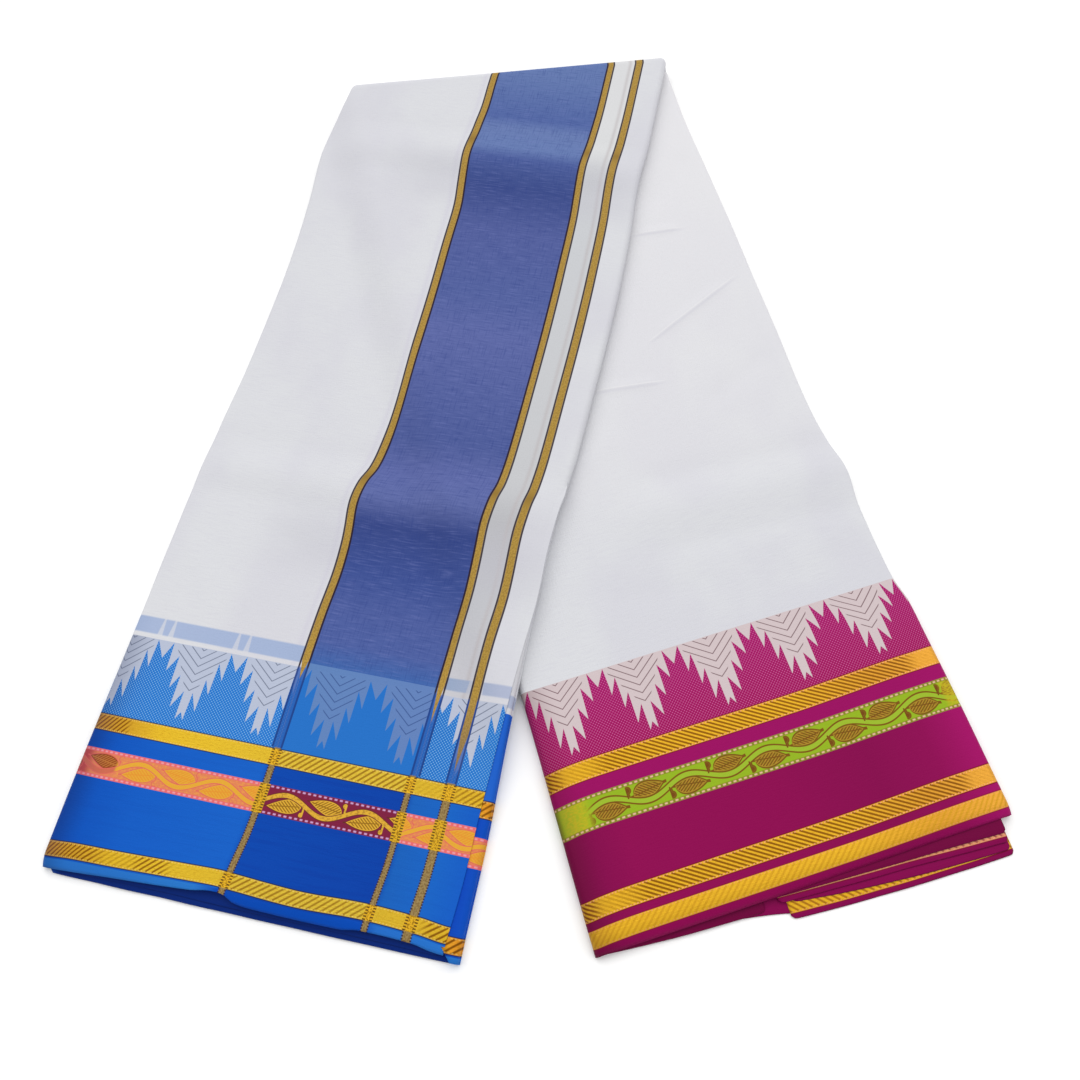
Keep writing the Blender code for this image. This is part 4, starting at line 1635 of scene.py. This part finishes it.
def magenta_end_white(u, v):
    """The white of the magenta end, which grows a little brighter towards the fold."""
    whiter = rising(v, WHITER_FROM, WHITER_BEYOND) * WHITER_BY
    whiter = whiter + map_range(v, WHITER_BEYOND, WHITEST_AT, 0.0, WHITEST_BY)
    colour = paint(white_cotton(u, v), BRIGHT_WHITE, whiter)
    for line in PRESSED_LINES:
        ridge, beside = pressed_line(u, v, line)
        # painted shade beside each pressed line, and a painted highlight on its ridge
        colour = coats(colour, Coat(WHITE_SHADE, beside, 0.7), Coat(BRIGHT_WHITE, ridge))
    return colour


print("pressed lines", len(PRESSED_LINES))

# %% [markdown]
# The white of the blue end carries painted shade in three places: in the troughs beside the old folds,
# in the narrow strip between two gold lines, where the tight threads hollow it, and in a faint lilac
# line beside the panel. All are so faint that paint shows them better than shape.

# %% The white of the blue end
STRIP_SHADE_ALONG = (
    Stop(150, 203, 202, 208),
    Stop(200, 196, 197, 202),
    Stop(240, 187, 187, 191),
    Stop(290, 202, 203, 206),
    Stop(500, 205, 207, 211),
    Stop(552, 208, 209, 212),
    Stop(572, 221, 222, 223),
    Stop(640, 220, 220, 222),
)
LILAC_SHADE = dye(203, 198, 216)
TROUGH_SHADE = dye(194, 193, 203)
STRIP_SHADE = dye(190, 183, 184)
NARROW_STRIP = (205.5, 221.5, 1.5)
STRIP_MIDDLE = (217.8, 1.0, 3.0)
STRIP_MIDDLE_STRENGTH = 0.6
BESIDE_PANEL = (109.5, 1.0, 5.0)
TROUGHS_ALONG = ((204, 246, 36.0), (506, 550, 30.0))
TROUGHS_ACROSS = (70, 250, 60.0)


def blue_end_white(u, v):
    """The white of the blue end, with painted shade between the lines, in the troughs and beside the
    panel.
    """
    in_middle = within(u, *STRIP_MIDDLE) * STRIP_MIDDLE_STRENGTH
    narrow = paint(colour_by(v, STRIP_SHADE_ALONG), STRIP_SHADE, in_middle)
    troughs = most(*(between(v, *trough) for trough in TROUGHS_ALONG))
    return coats(
        white_cotton(u, v),
        Coat(narrow, between(u, *NARROW_STRIP)),
        Coat(LILAC_SHADE, within(u, *BESIDE_PANEL), 0.4),
        Coat(TROUGH_SHADE, troughs * between(u, *TROUGHS_ACROSS), 0.4),
    )


print("stops of the narrow strip", len(STRIP_SHADE_ALONG))

# %% [markdown]
# The panel is woven of blue and white threads crossing, so it is streaked both ways. Its stops carry
# painted shade on the side of each old fold that turns away from the light, and painted light on the
# side that faces it.

# %% The blue panel
PANEL_LIGHT_AND_SHADE_ALONG = (
    Stop(140, 67, 106, 174),
    Stop(158, 82, 100, 163),
    Stop(180, 82, 98, 160),
    Stop(205, 68, 86, 150),
    Stop(240, 60, 75, 135),
    Stop(260, 99, 111, 169),
    Stop(280, 97, 108, 167),
    Stop(305, 82, 96, 155),
    Stop(390, 97, 108, 167),
    Stop(425, 87, 101, 160),
    Stop(480, 87, 99, 158),
    Stop(523, 64, 79, 138),
    Stop(550, 80, 97, 157),
    Stop(562, 106, 127, 179),
    Stop(582, 108, 128, 180),
    Stop(593, 86, 106, 165),
    Stop(640, 103, 124, 176),
)
PALE_STREAKS = Blots(12.0, 1.0, 0.5, 0.85, 5.0)
DARK_STREAKS = Blots(12.0, 1.0, 0.5, 0.1, 5.0)
CROSS_STREAKS = Blots(0.8, 12.0, 0.5, 0.2, 3.0)


def blue_end_body(u, v):
    """The white cloth of the blue end with its panel, without the gold lines."""
    panel = coats(
        colour_by(v, PANEL_LIGHT_AND_SHADE_ALONG),
        Coat(dye(120, 130, 190), blots(u, v, PALE_STREAKS), 0.4),
        Coat(dye(44, 62, 130), blots(u, v, DARK_STREAKS), 0.5),
        Coat(dye(48, 66, 134), blots(u, v, CROSS_STREAKS), 0.35),
    )
    return paint(blue_end_white(u, v), panel, between(u, PANEL_FROM, PANEL_TO))


print("panel stops", len(PANEL_LIGHT_AND_SHADE_ALONG))

# %% [markdown]
# Satin has long threads on top, so it shows its dye deep and even. The ground of the blue border is
# royal blue below and azure above the upper gold band, and darker in the panel, where the threads that
# cross it are blue too. Painted shade darkens it where it rolls under at the left edge, where it rolls
# over the next fold, and on the plies that stick out at the hem.

# %% Ground of the blue border
BLUE_TEMPLE = Temple(BORDER_WHITE_FROM, 48.2, 51.9, -1, 1.045)
BLUE_GOLD_BANDS = ((5.9, 14.3), (79.0, 88.3))
SATIN = Blots(38.0, 2.4, 0.42, 0.7)
SATIN_DEPTH = 0.06
PANEL_SATIN_DEEPER = 0.14
NEXT_FOLD_FROM = 250.0
LIP_BELOW = 4.6
# Painted shade: darker at the rolled left edge, on the hem plies (-14) and on the next fold past 250.
ROYAL_AND_SHADE_ACROSS = (
    Stop(-14, 10, 50, 138),
    Stop(-8, 19, 78, 175),
    Stop(0, 16, 72, 168),
    Stop(22, 20, 86, 189),
    Stop(46, 24, 94, 197),
    Stop(112, 28, 99, 200),
    Stop(118, 14, 74, 175),
    Stop(200, 13, 68, 168),
    Stop(206, 31, 99, 188),
    Stop(229, 30, 102, 198),
    Stop(252, 26, 92, 198),
    Stop(258, 20, 74, 188),
    Stop(266, 24, 84, 194),
)
# Painted shade: darker at the rolled left edge and on the next fold past 250.
AZURE_AND_SHADE_ACROSS = (
    Stop(0, 34, 104, 190),
    Stop(30, 36, 117, 203),
    Stop(112, 36, 118, 205),
    Stop(118, 42, 115, 200),
    Stop(200, 42, 115, 200),
    Stop(206, 36, 114, 198),
    Stop(250, 40, 120, 206),
    Stop(257, 42, 106, 206),
    Stop(266, 36, 96, 204),
)
# Painted shade: the stop at -14 darkens the hem plies, which lie in shadow.
LIP_AND_SHADE_ACROSS = (
    Stop(-14, 12, 54, 144),
    Stop(-8, 43, 112, 200),
    Stop(100, 46, 122, 206),
    Stop(114, 16, 76, 182),
    Stop(200, 16, 78, 184),
    Stop(208, 42, 112, 204),
    Stop(246, 46, 122, 212),
)


def blue_ground(u, v, in_panel):
    """The satin ground, its pin dots above the upper band and its paler rolled lip."""
    depth = blots(u, v, SATIN) * (in_panel * PANEL_SATIN_DEEPER + SATIN_DEPTH)
    upper = above(v, BLUE_GOLD_BANDS[1][1])
    dots = pin_dots(u, v) * upper * (1 - in_panel) * below(u, NEXT_FOLD_FROM)
    return coats(
        colour_by(u, ROYAL_AND_SHADE_ACROSS),
        Coat(dye(8, 52, 150), depth),
        Coat(colour_by(u, AZURE_AND_SHADE_ACROSS), upper),
        Coat(dye(142, 194, 238), dots, 0.72),
        Coat(colour_by(u, LIP_AND_SHADE_ACROSS), below(v, LIP_BELOW)),
    )


print("royal stops", len(ROYAL_AND_SHADE_ACROSS))

# %% [markdown]
# Above the ground come the temple points. Beyond their base the white cotton starts, or in the panel
# the blue one, and a pale blue stripe with small spikes crosses it, where the border's last threads
# turn back.

# %% Temple points of the blue border
PALE_ACROSS = (
    Stop(0, 186, 194, 214),
    Stop(116, 186, 194, 214),
    Stop(117.5, 99, 134, 188),
    Stop(201, 102, 132, 188),
    Stop(202.5, 186, 193, 214),
    Stop(246, 190, 196, 212),
)
STRIPE_ACROSS = (
    Stop(0, 162, 178, 210),
    Stop(14, 170, 185, 216),
    Stop(100, 166, 182, 214),
    Stop(206, 154, 170, 198),
    Stop(240, 178, 186, 210),
)
STRIPE = (141.9, 152.3, 1.4)
STRIPE_RIGHT = (142.5, 150.0, 1.4)
SPIKE_PITCH = 49.9
SPIKES_AT = 24.2
SPIKES_APART = 3.6
SPIKE_SLOPE = 0.11
SPIKE_HALF = 1.75
SPIKE_SOFT = 0.8
SPIKE_STRENGTH = 0.6
PANEL_BASE_ABOVE = 3.5


def spiked_stripe(u, v, in_panel):
    """The mask of the pale stripe, thinner where its small spikes cross it."""
    stripe = between(v, *STRIPE) * below(u, PANEL_TO)
    stripe = most(stripe, between(v, *STRIPE_RIGHT) * above(u, PANEL_TO))
    aside = repeat(u - SPIKES_AT, SPIKE_PITCH)
    spikes = least(abs(aside - SPIKES_APART), abs(aside + SPIKES_APART))
    spikes = below(spikes + (v - STRIPE[0]) * SPIKE_SLOPE, SPIKE_HALF, SPIKE_SOFT)
    return stripe * (1 - spikes * SPIKE_STRENGTH) * (1 - in_panel)


def blue_temples(colour, u, v, in_panel):
    """Lays the temple points and the start of the body over the ground."""
    points, zigzags = temple_masks(stretched(u), v, BLUE_TEMPLE)
    pale = colour_by(u, PALE_ACROSS)
    zigzag_dye = paint(dye(112, 120, 142), dye(64, 90, 146), in_panel)
    on_face = below(u, NEXT_FOLD_FROM)
    body = paint(blue_end_body(u, v), colour_by(u, STRIPE_ACROSS), spiked_stripe(u, v, in_panel))
    base = BLUE_TEMPLE.base
    panel_base = base + PANEL_BASE_ABOVE
    return coats(
        colour,
        Coat(pale, points * on_face),
        Coat(zigzag_dye, zigzags * on_face, 0.9),
        Coat(body, above(v, base) * (1 - in_panel)),
        Coat(pale, between(v, base, panel_base) * in_panel),
        Coat(body, above(v, panel_base) * in_panel),
    )


print("temple points every", BLUE_TEMPLE.pitch, "mm")

# %% [markdown]
# The charts say how strongly the twill lines show on the two gold bands of the blue border. They are
# strong at the edges and in the panel and fade between, and they lie closer near the left edge,
# where the cloth rolls away.

# %% Gold bands of the blue border
# Painted shade: the gold is darker towards the left edge, where the cloth rolls away.
GOLD_AND_SHADE_ACROSS = (
    Stop(-4, 192, 134, 40),
    Stop(24, 202, 154, 44),
    Stop(44, 221, 180, 45),
    Stop(76, 222, 184, 48),
    Stop(116, 216, 180, 50),
    Stop(120, 216, 184, 60),
    Stop(200, 216, 186, 62),
    Stop(206, 212, 176, 50),
    Stop(246, 220, 178, 48),
    Stop(262, 226, 150, 44),
)
UPPER_TWILL = (
    ChartPoint(-4, 1.0),
    ChartPoint(22, 1.0),
    ChartPoint(26, 0.0),
    ChartPoint(114, 0.0),
    ChartPoint(118, 0.75),
    ChartPoint(199, 0.75),
    ChartPoint(205, 0.15),
    ChartPoint(218, 0.15),
    ChartPoint(232, 0.6),
    ChartPoint(270, 1.0),
)
LOWER_TWILL = (
    ChartPoint(-4, 1.0),
    ChartPoint(32, 0.95),
    ChartPoint(42, 0.35),
    ChartPoint(57, 0.35),
    ChartPoint(63, 0.9),
    ChartPoint(77, 0.9),
    ChartPoint(84, 0.1),
    ChartPoint(112, 0.0),
    ChartPoint(118, 0.75),
    ChartPoint(199, 0.65),
    ChartPoint(205, 0.0),
    ChartPoint(229, 0.0),
    ChartPoint(235, 0.9),
    ChartPoint(270, 1.0),
)
BLUE_GOLD_DYES = GoldDyes(dye(40, 44, 66), 0.9, dye(130, 78, 14), 1.0, dye(240, 205, 120), 0.5)
BETWEEN_BANDS = 50.0
DENSE_TWILL_UNTIL = 28.0
DENSE_TWILL_GAIN = 0.35


def blue_gold(colour, u, v):
    """Lays the two gold bands over a colour, and also gives the mask of the bands."""
    lower = chart(u, LOWER_TWILL)
    upper = chart(u, UPPER_TWILL)
    strength = lower + (upper - lower) * above(v, BETWEEN_BANDS)
    added = DENSE_TWILL_UNTIL * DENSE_TWILL_GAIN
    twill_u = u + map_range(u, 0.0, DENSE_TWILL_UNTIL, -added, 0.0)
    masks = gold_band_masks(twill_u, v, BLUE_GOLD_BANDS, BLUE_TWILL, strength)
    gold = gold_thread(u, v, colour_by(u, GOLD_AND_SHADE_ACROSS), dye(190, 138, 28))
    return lay_gold(colour, masks, gold, BLUE_GOLD_DYES), masks.band


print("gold bands at", BLUE_GOLD_BANDS)

# %% [markdown]
# The vine of the blue border is gold on salmon, and in the panel gold on maroon, with the buds
# showing. Its first leaf, at the left edge, is rust brown.

# %% Vine of the blue border
BLUE_VINE = Vine(51.25, 68.1, 48.7, 41.2, 1, -10.6, 20.6, 4.2, 4.1, 0.5, 3.28)
VINE_FLECKS = Blots(1.8, 1.2, 0.45, 0.65)
RUST_UNTIL = 26.0
RUST_SOFT = 2.0
VINE_SHADE_UNTIL = 8.0
VINE_SHADE_SOFT = 7.0
SALMON = dye(226, 132, 90)
MAROON = dye(128, 38, 68)


def blue_vine(colour, u, v, in_panel):
    """Lays the vine band over a colour, and also gives the mask of the band."""
    vine = vine_masks(stretched(u), v, BLUE_VINE)
    rust = below(u, RUST_UNTIL, RUST_SOFT)
    flecks = blots(u, v, VINE_FLECKS)
    bud = vine.bud * in_panel
    gold = paint(dye(230, 170, 58), dye(226, 176, 60), in_panel)
    outline = paint(dye(224, 104, 94), dye(104, 48, 40), in_panel)
    vein = paint(paint(dye(230, 146, 52), dye(122, 78, 24), in_panel), dye(196, 126, 62), rust)
    inner = coats(
        SALMON,
        Coat(MAROON, in_panel),
        # painted shade on the salmon near the left edge, where the cloth rolls away
        Coat(dye(194, 78, 70), below(u, VINE_SHADE_UNTIL, VINE_SHADE_SOFT)),
        Coat(dye(240, 170, 66), flecks * (1 - in_panel) * (1 - rust), 0.45),
        Coat(outline, vine.outline * most(1 - in_panel, below(bud, 0.5))),
        Coat(paint(gold, dye(208, 108, 84), rust), vine.stem),
        Coat(paint(gold, dye(146, 70, 34), rust), vine.leaf),
        Coat(gold, bud),
        Coat(vein, vine.veins, 0.8),
        Coat(outline, flecks * most(vine.stem, bud) * in_panel, 0.4),
        Coat(paint(dye(232, 108, 112), MAROON, in_panel), vine.rim),
        Coat(paint(dye(236, 158, 166), dye(206, 160, 204), in_panel), vine.dots),
    )
    return paint(colour, inner, vine.band), vine.band


print("vine waves every", BLUE_VINE.pitch, "mm")

# %% [markdown]
# Where a gold line crosses a band, its threads bind into the gold, so the crossing is wider, knotted
# inside and stitched dark along both sides. The coats of the blue border can now be laid in order,
# from the ground up.

# %% Crossings, and the blue border as a whole
CROSSING_PAST_CORD = 1.2
STITCH_HALF = 0.4
STITCH_SOFT = 0.5
STITCHED_FROM = 0.25
STITCHED_HALF = 0.85
STITCHED_SOFT = 0.4
KNOTS = Blots(1.1, 0.9, 0.46, 0.6)
KNOTS_INSIDE = 0.3
KNOTS_SOFT = 0.8
EDGE_SHADE = 0.36
EDGE_SHADE_UNTIL = 22.0
EDGE_SHADE_FULL = -2.0


def crossings(colour, u, v, bands):
    """Lays the knotted gold of the crossings over the bands."""
    at_cord = least(*(abs(u - line.cord_middle) - line.cord_half for line in GOLD_LINES))
    crossing = below(at_cord, CROSSING_PAST_CORD) * bands
    stitches = within(repeat(v, STITCH_PITCH), 0.0, STITCH_HALF, STITCH_SOFT)
    stitches = stitches * within(at_cord, STITCHED_FROM, STITCHED_HALF, STITCHED_SOFT)
    knots = blots(u, v, KNOTS) * below(at_cord, -KNOTS_INSIDE, KNOTS_SOFT)
    return coats(
        colour,
        Coat(dye(226, 176, 44), crossing),
        Coat(dye(124, 82, 22), crossing * knots, 0.7),
        Coat(dye(62, 40, 30), crossing * stitches, 0.9),
    )


def edge_shade(colour, u, dark):
    """A soft shade near the left edge, where the smooth threads roll away from the light."""
    return paint(colour, dark, rising(u, EDGE_SHADE_UNTIL, EDGE_SHADE_FULL) * EDGE_SHADE)


def blue_border(u, v):
    in_panel = between(u, PANEL_FROM, PANEL_TO)
    colour = blue_ground(u, v, in_panel)
    colour = blue_temples(colour, u, v, in_panel)
    colour, bands = blue_gold(colour, u, v)
    colour, vine_band = blue_vine(colour, u, v, in_panel)
    colour = add_lines(colour, u, v)
    colour = crossings(colour, u, v, most(bands, vine_band))
    shaded = edge_shade(colour, u, dye(26, 40, 84))
    colour = paint(colour, shaded, below(v, BLUE_TEMPLE.base))
    return colour, bands, below(v, BLUE_TEMPLE.base)


print("stitches every", STITCH_PITCH, "mm")

# %% [markdown]
# The magenta border is laid in the same way, without lines or crossings. The plies that stick out at
# its hem share it: each has its own stretch of the weave, beyond the left edge, so some can carry
# painted shade and one can show the thin pink side of its gold.

# %% Ground and temple points of the magenta border
MAGENTA_TEMPLE = Temple(149.0, 47.9, 22.2, 1, 1.01)
MAGENTA_GOLD_BANDS = ((17.2, 27.4), (89.4, 100.3))
MAGENTA_VINE = Vine(61.9, 80.6, 47.6, 31.0, -1, -9.8, 18.0, 4.9, 3.5, 0.95, 3.13)
PINK_PLY_BELOW = -300.0
SHADED_PLY_BELOW = -600.0
# Painted shade: the stops at -7 and 16 darken the cloth where it rolls under at the left edge.
MAGENTA_AND_SHADE_ACROSS = (
    Stop(-14, 136, 19, 81),
    Stop(-7, 112, 15, 64),
    Stop(16, 134, 18, 79),
    Stop(36, 145, 19, 84),
    Stop(120, 143, 17, 83),
    Stop(180, 136, 16, 80),
    Stop(214, 144, 19, 86),
    Stop(240, 164, 24, 103),
)
MAGENTA_UPPER_ALONG = (
    Stop(100, 159, 21, 90),
    Stop(149, 166, 26, 106),
)


def magenta_ground(u, v):
    """The satin ground, the pin dots and the temple points."""
    upper = above(v, MAGENTA_GOLD_BANDS[1][1])
    points, zigzags = temple_masks(u, v, MAGENTA_TEMPLE)
    return coats(
        colour_by(u, MAGENTA_AND_SHADE_ACROSS),
        # painted shade on the hem plies that lie in shadow
        Coat(dye(116, 13, 66), below(u, SHADED_PLY_BELOW)),
        Coat(dye(160, 22, 102), between(v, MAGENTA_VINE.high, MAGENTA_GOLD_BANDS[1][0]), 0.8),
        Coat(colour_by(v, MAGENTA_UPPER_ALONG), upper),
        Coat(dye(220, 122, 178), pin_dots(u, v) * upper, 0.55),
        Coat(dye(212, 196, 198), points),
        Coat(dye(120, 92, 98), zigzags, 0.9),
        Coat(magenta_end_white(u, v), above(v, MAGENTA_TEMPLE.base)),
    )


print("magenta stops", len(MAGENTA_AND_SHADE_ACROSS))

# %% [markdown]
# The magenta border has two gold bands like the blue one, and a third at the very edge whose twill
# leans the other way, because the edge is folded over to the front.

# %% Gold bands of the magenta border
MAGENTA_EDGE_BAND = (3.2, 12.4)
MAGENTA_TWILL_ACROSS = (
    ChartPoint(-4, 1.0),
    ChartPoint(6, 0.9),
    ChartPoint(12, 0.25),
    ChartPoint(28, 0.45),
    ChartPoint(38, 0.9),
    ChartPoint(222, 0.9),
    ChartPoint(231, 0.1),
    ChartPoint(252, 0.1),
)
MAGENTA_GOLD_ACROSS = (
    Stop(0, 228, 176, 44),
    Stop(150, 230, 178, 46),
    Stop(204, 220, 156, 54),
    Stop(240, 234, 168, 64),
)
LOWER_PLY_BELOW = -16.0
MAGENTA_GOLD_DYES = GoldDyes(dye(124, 22, 32), 0.8, dye(124, 70, 12), 1.0, dye(244, 166, 120), 0.85)


def magenta_gold(colour, u, v):
    """Lays the gold bands over a colour, and also gives the mask of the bands."""
    strength = chart(u, MAGENTA_TWILL_ACROSS)
    masks = gold_band_masks(u, v, MAGENTA_GOLD_BANDS, MAGENTA_TWILL, strength)
    gold = colour_by(u, MAGENTA_GOLD_ACROSS)
    flecked_gold = gold_thread(u, v, gold, dye(200, 140, 30))
    colour = lay_gold(colour, masks, flecked_gold, MAGENTA_GOLD_DYES)

    edge = gold_band_masks(u, v, (MAGENTA_EDGE_BAND,), EDGE_TWILL, 1.0)
    lower = below(u, LOWER_PLY_BELOW)
    pink = below(u, PINK_PLY_BELOW)
    twill = paint(paint(dye(206, 152, 38), dye(146, 80, 28), lower), dye(146, 44, 66), pink)
    edge_dyes = GoldDyes(dye(136, 22, 40), 0.6, twill, 0.75, dye(238, 162, 100), 0.7)
    colour = lay_gold(colour, edge, paint(gold, dye(228, 160, 120), pink), edge_dyes)
    return colour, most(masks.band, edge.band)


print("gold bands at", MAGENTA_GOLD_BANDS, MAGENTA_EDGE_BAND)

# %% [markdown]
# On the green band the stem is left in green and only outlined in brown, while leaves and buds are
# filled with bronze. The vine starts some way in from the left edge, and the bare green there, and
# at the right end, is flecked with yellow.

# %% Vine of the magenta border
SPECKLE = Blots(2.2, 1.0, 0.3, 0.7)
VINE_GROWS_FROM = 20.0
VINE_GROWS_SOFT = 8.0
YELLOW_LEFT = (4.0, 19.0, 9.0)
YELLOW_RIGHT_FROM = 237.0
YELLOW_RIGHT_SOFT = 5.0
YELLOW_STRENGTH = 0.35
YELLOW_SPECKLED = 0.55
GREEN_SHADE_UNTIL = 1.5
GREEN_SHADE_SOFT = 4.0


def magenta_vine(colour, u, v):
    """Lays the green band with its vine over a colour."""
    vine = vine_masks(u, v, MAGENTA_VINE)
    grown = above(u, VINE_GROWS_FROM, VINE_GROWS_SOFT)
    speckle = blots(u, v, SPECKLE)
    bare = most(between(u, *YELLOW_LEFT), above(u, YELLOW_RIGHT_FROM, YELLOW_RIGHT_SOFT))
    inner = coats(
        dye(150, 182, 40),
        Coat(dye(126, 84, 30), vine.outline * grown),
        Coat(dye(158, 188, 52), vine.stem * grown),
        Coat(dye(182, 142, 50), vine.leaf * grown),
        Coat(dye(122, 74, 30), most(vine.veins, vine.bud) * grown),
        Coat(dye(116, 112, 30), speckle * vine.leaf * grown, 0.35),
        Coat(dye(200, 182, 40), bare * (speckle * YELLOW_SPECKLED + YELLOW_STRENGTH)),
        # painted shade on the green at the left edge, where the cloth rolls under
        Coat(dye(112, 116, 34), below(u, GREEN_SHADE_UNTIL, GREEN_SHADE_SOFT), 0.8),
        Coat(dye(132, 122, 40), vine.rim, 0.8),
        Coat(dye(228, 186, 154), vine.dots),
    )
    return paint(colour, inner, vine.band)


def magenta_border(u, v):
    colour, bands = magenta_gold(magenta_ground(u, v), u, v)
    colour = magenta_vine(colour, u, v)
    on_face = below(v, MAGENTA_TEMPLE.base) * above(u, LOWER_PLY_BELOW)
    colour = paint(colour, edge_shade(colour, u, dye(84, 20, 40)), on_face)
    return colour, bands, below(v, MAGENTA_TEMPLE.base)


print("vine grows from", VINE_GROWS_FROM, "mm")

# %% [markdown]
# The sheen is set by what each thread is: cotton is dull, the satin of the borders is smoother, and
# the gold thread is partly metal. A faint bump of threads breaks up the light. The body away from the
# borders gets a plainer material of its own, because it needs none of the sums of the motifs.

# %% The four woven materials
SHINE = 0.08
COTTON_ROUGHNESS = 0.85
SATIN_SMOOTHER = 0.25
GOLD_SMOOTHER = 0.15
GOLD_METAL = 0.35
THREAD_HEIGHT = 0.12 * MM
WEFT_BUMP = (5.0, 0.8, 2.0)
WARP_BUMP = (0.8, 4.0, 2.0)
BLUE_BORDER_TOP = 156.0
MAGENTA_BORDER_TOP = 152.0
Weave = namedtuple("Weave", "border body border_top")


def woven_material(name, layers):
    """A cloth material from a function that gives its colour, its gold and its satin."""
    material = bpy.data.materials.new(name)
    material.use_nodes = True
    tree = material.node_tree
    shader = tree.nodes["Principled BSDF"]
    u, v = weave_axes(tree)
    colour, gold, satin = layers(u, v)
    plug(tree, colour, shader.inputs["Base Color"])
    shader.inputs["Specular IOR Level"].default_value = SHINE
    shader.inputs["Roughness"].default_value = COTTON_ROUGHNESS
    if gold is not None:
        roughness = COTTON_ROUGHNESS - satin * SATIN_SMOOTHER - gold * GOLD_SMOOTHER
        plug(tree, roughness, shader.inputs["Roughness"])
        plug(tree, gold * GOLD_METAL, shader.inputs["Metallic"])
    bump = tree.nodes.new("ShaderNodeBump")
    bump.inputs["Strength"].default_value = 1.0
    bump.inputs["Distance"].default_value = THREAD_HEIGHT
    weft = thread_noise(u, v, *WEFT_BUMP)
    plug(tree, weft + thread_noise(u, v, *WARP_BUMP), bump.inputs["Height"])
    tree.links.new(bump.outputs[0], shader.inputs["Normal"])
    print(name, len(tree.nodes), "nodes")
    return material


def blue_body(u, v):
    return add_lines(blue_end_body(u, v), u, v), None, None


def magenta_body(u, v):
    return magenta_end_white(u, v), None, None


BLUE_WEAVE = Weave(
    woven_material("blue_border_weave", blue_border),
    woven_material("blue_end_body_weave", blue_body),
    BLUE_BORDER_TOP,
)
MAGENTA_WEAVE = Weave(
    woven_material("magenta_border_weave", magenta_border),
    woven_material("magenta_end_body_weave", magenta_body),
    MAGENTA_BORDER_TOP,
)

# %% [markdown]
# Each face of a sheet gets the border's material up to a place in the weave and the body's beyond it.
# The ribbon runs from one border to the other, so it has all four.

# %% Finishes on the pieces
def lowest_along(piece, face):
    """The place along the weave, in millimetres, of a face's corner nearest the hem."""
    places = piece.data.uv_layers["cloth"].data
    return min(places[k].uv[1] for k in face.loop_indices) / MM


def finish(piece, marks, mark, weave):
    """Adds the two materials of one end to a piece, for the faces that have that end's mark."""
    first = len(piece.data.materials)
    piece.data.materials.append(weave.border)
    piece.data.materials.append(weave.body)
    for face, face_mark in zip(piece.data.polygons, marks):
        if face_mark == mark:
            face.material_index = first + int(lowest_along(piece, face) > weave.border_top)


def marks_of(piece):
    return [face.material_index for face in piece.data.polygons]


finish(blue_cloth, marks_of(blue_cloth), FIRST_MARK, BLUE_WEAVE)
finish(magenta_cloth, marks_of(magenta_cloth), FIRST_MARK, MAGENTA_WEAVE)
ribbon_marks = marks_of(inner_plies)
finish(inner_plies, ribbon_marks, FIRST_MARK, BLUE_WEAVE)
finish(inner_plies, ribbon_marks, SECOND_MARK, MAGENTA_WEAVE)
for ply in HEM_PLIES:
    weave = BLUE_WEAVE if ply.leg == "blue" else MAGENTA_WEAVE
    hem_pieces[ply.name].data.materials.append(weave.border)
print("materials of the ribbon", len(inner_plies.data.materials))

# %% [markdown]
# Each piece is attached to the root body that carries it. The imported solids of the two faces and
# of the hidden layers are hidden, and so is the solid of any hem ply that has the same name.

# %% Attach the pieces and hide the solids
for piece in (blue_cloth, magenta_cloth, inner_plies, *hem_pieces.values()):
    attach(piece, "root")
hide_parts("blue_end_face")
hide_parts("magenta_end_face")
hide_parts("hidden_layers")
for ply in HEM_PLIES:
    piece = hem_pieces[ply.name]
    "blue_selvedge" if ply.leg == "blue" else "magenta_selvedge"
    if ply.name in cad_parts:
        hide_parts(ply.name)

blue_hem = [hem_pieces[ply.name] for ply in HEM_PLIES if ply.leg == "blue"]
magenta_hem = [hem_pieces[ply.name] for ply in HEM_PLIES if ply.leg == "magenta"]

# %% [markdown]
# Last come the two sizes, of the plain solids and of the dressed cloth, so that they can be compared.
# The dressed one may stand only a little proud, because the solids hold the true size.

# %% Sizes of the solids and of the dressed part
box_of_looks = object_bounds()
boxes = {"solids": box_of_solids, "looks": box_of_looks}
{name: [list(corner) for corner in box] for name, box in boxes.items()}
for name, box in boxes.items():
    print(name, [round(high - low, 4) for low, high in zip(*box)])
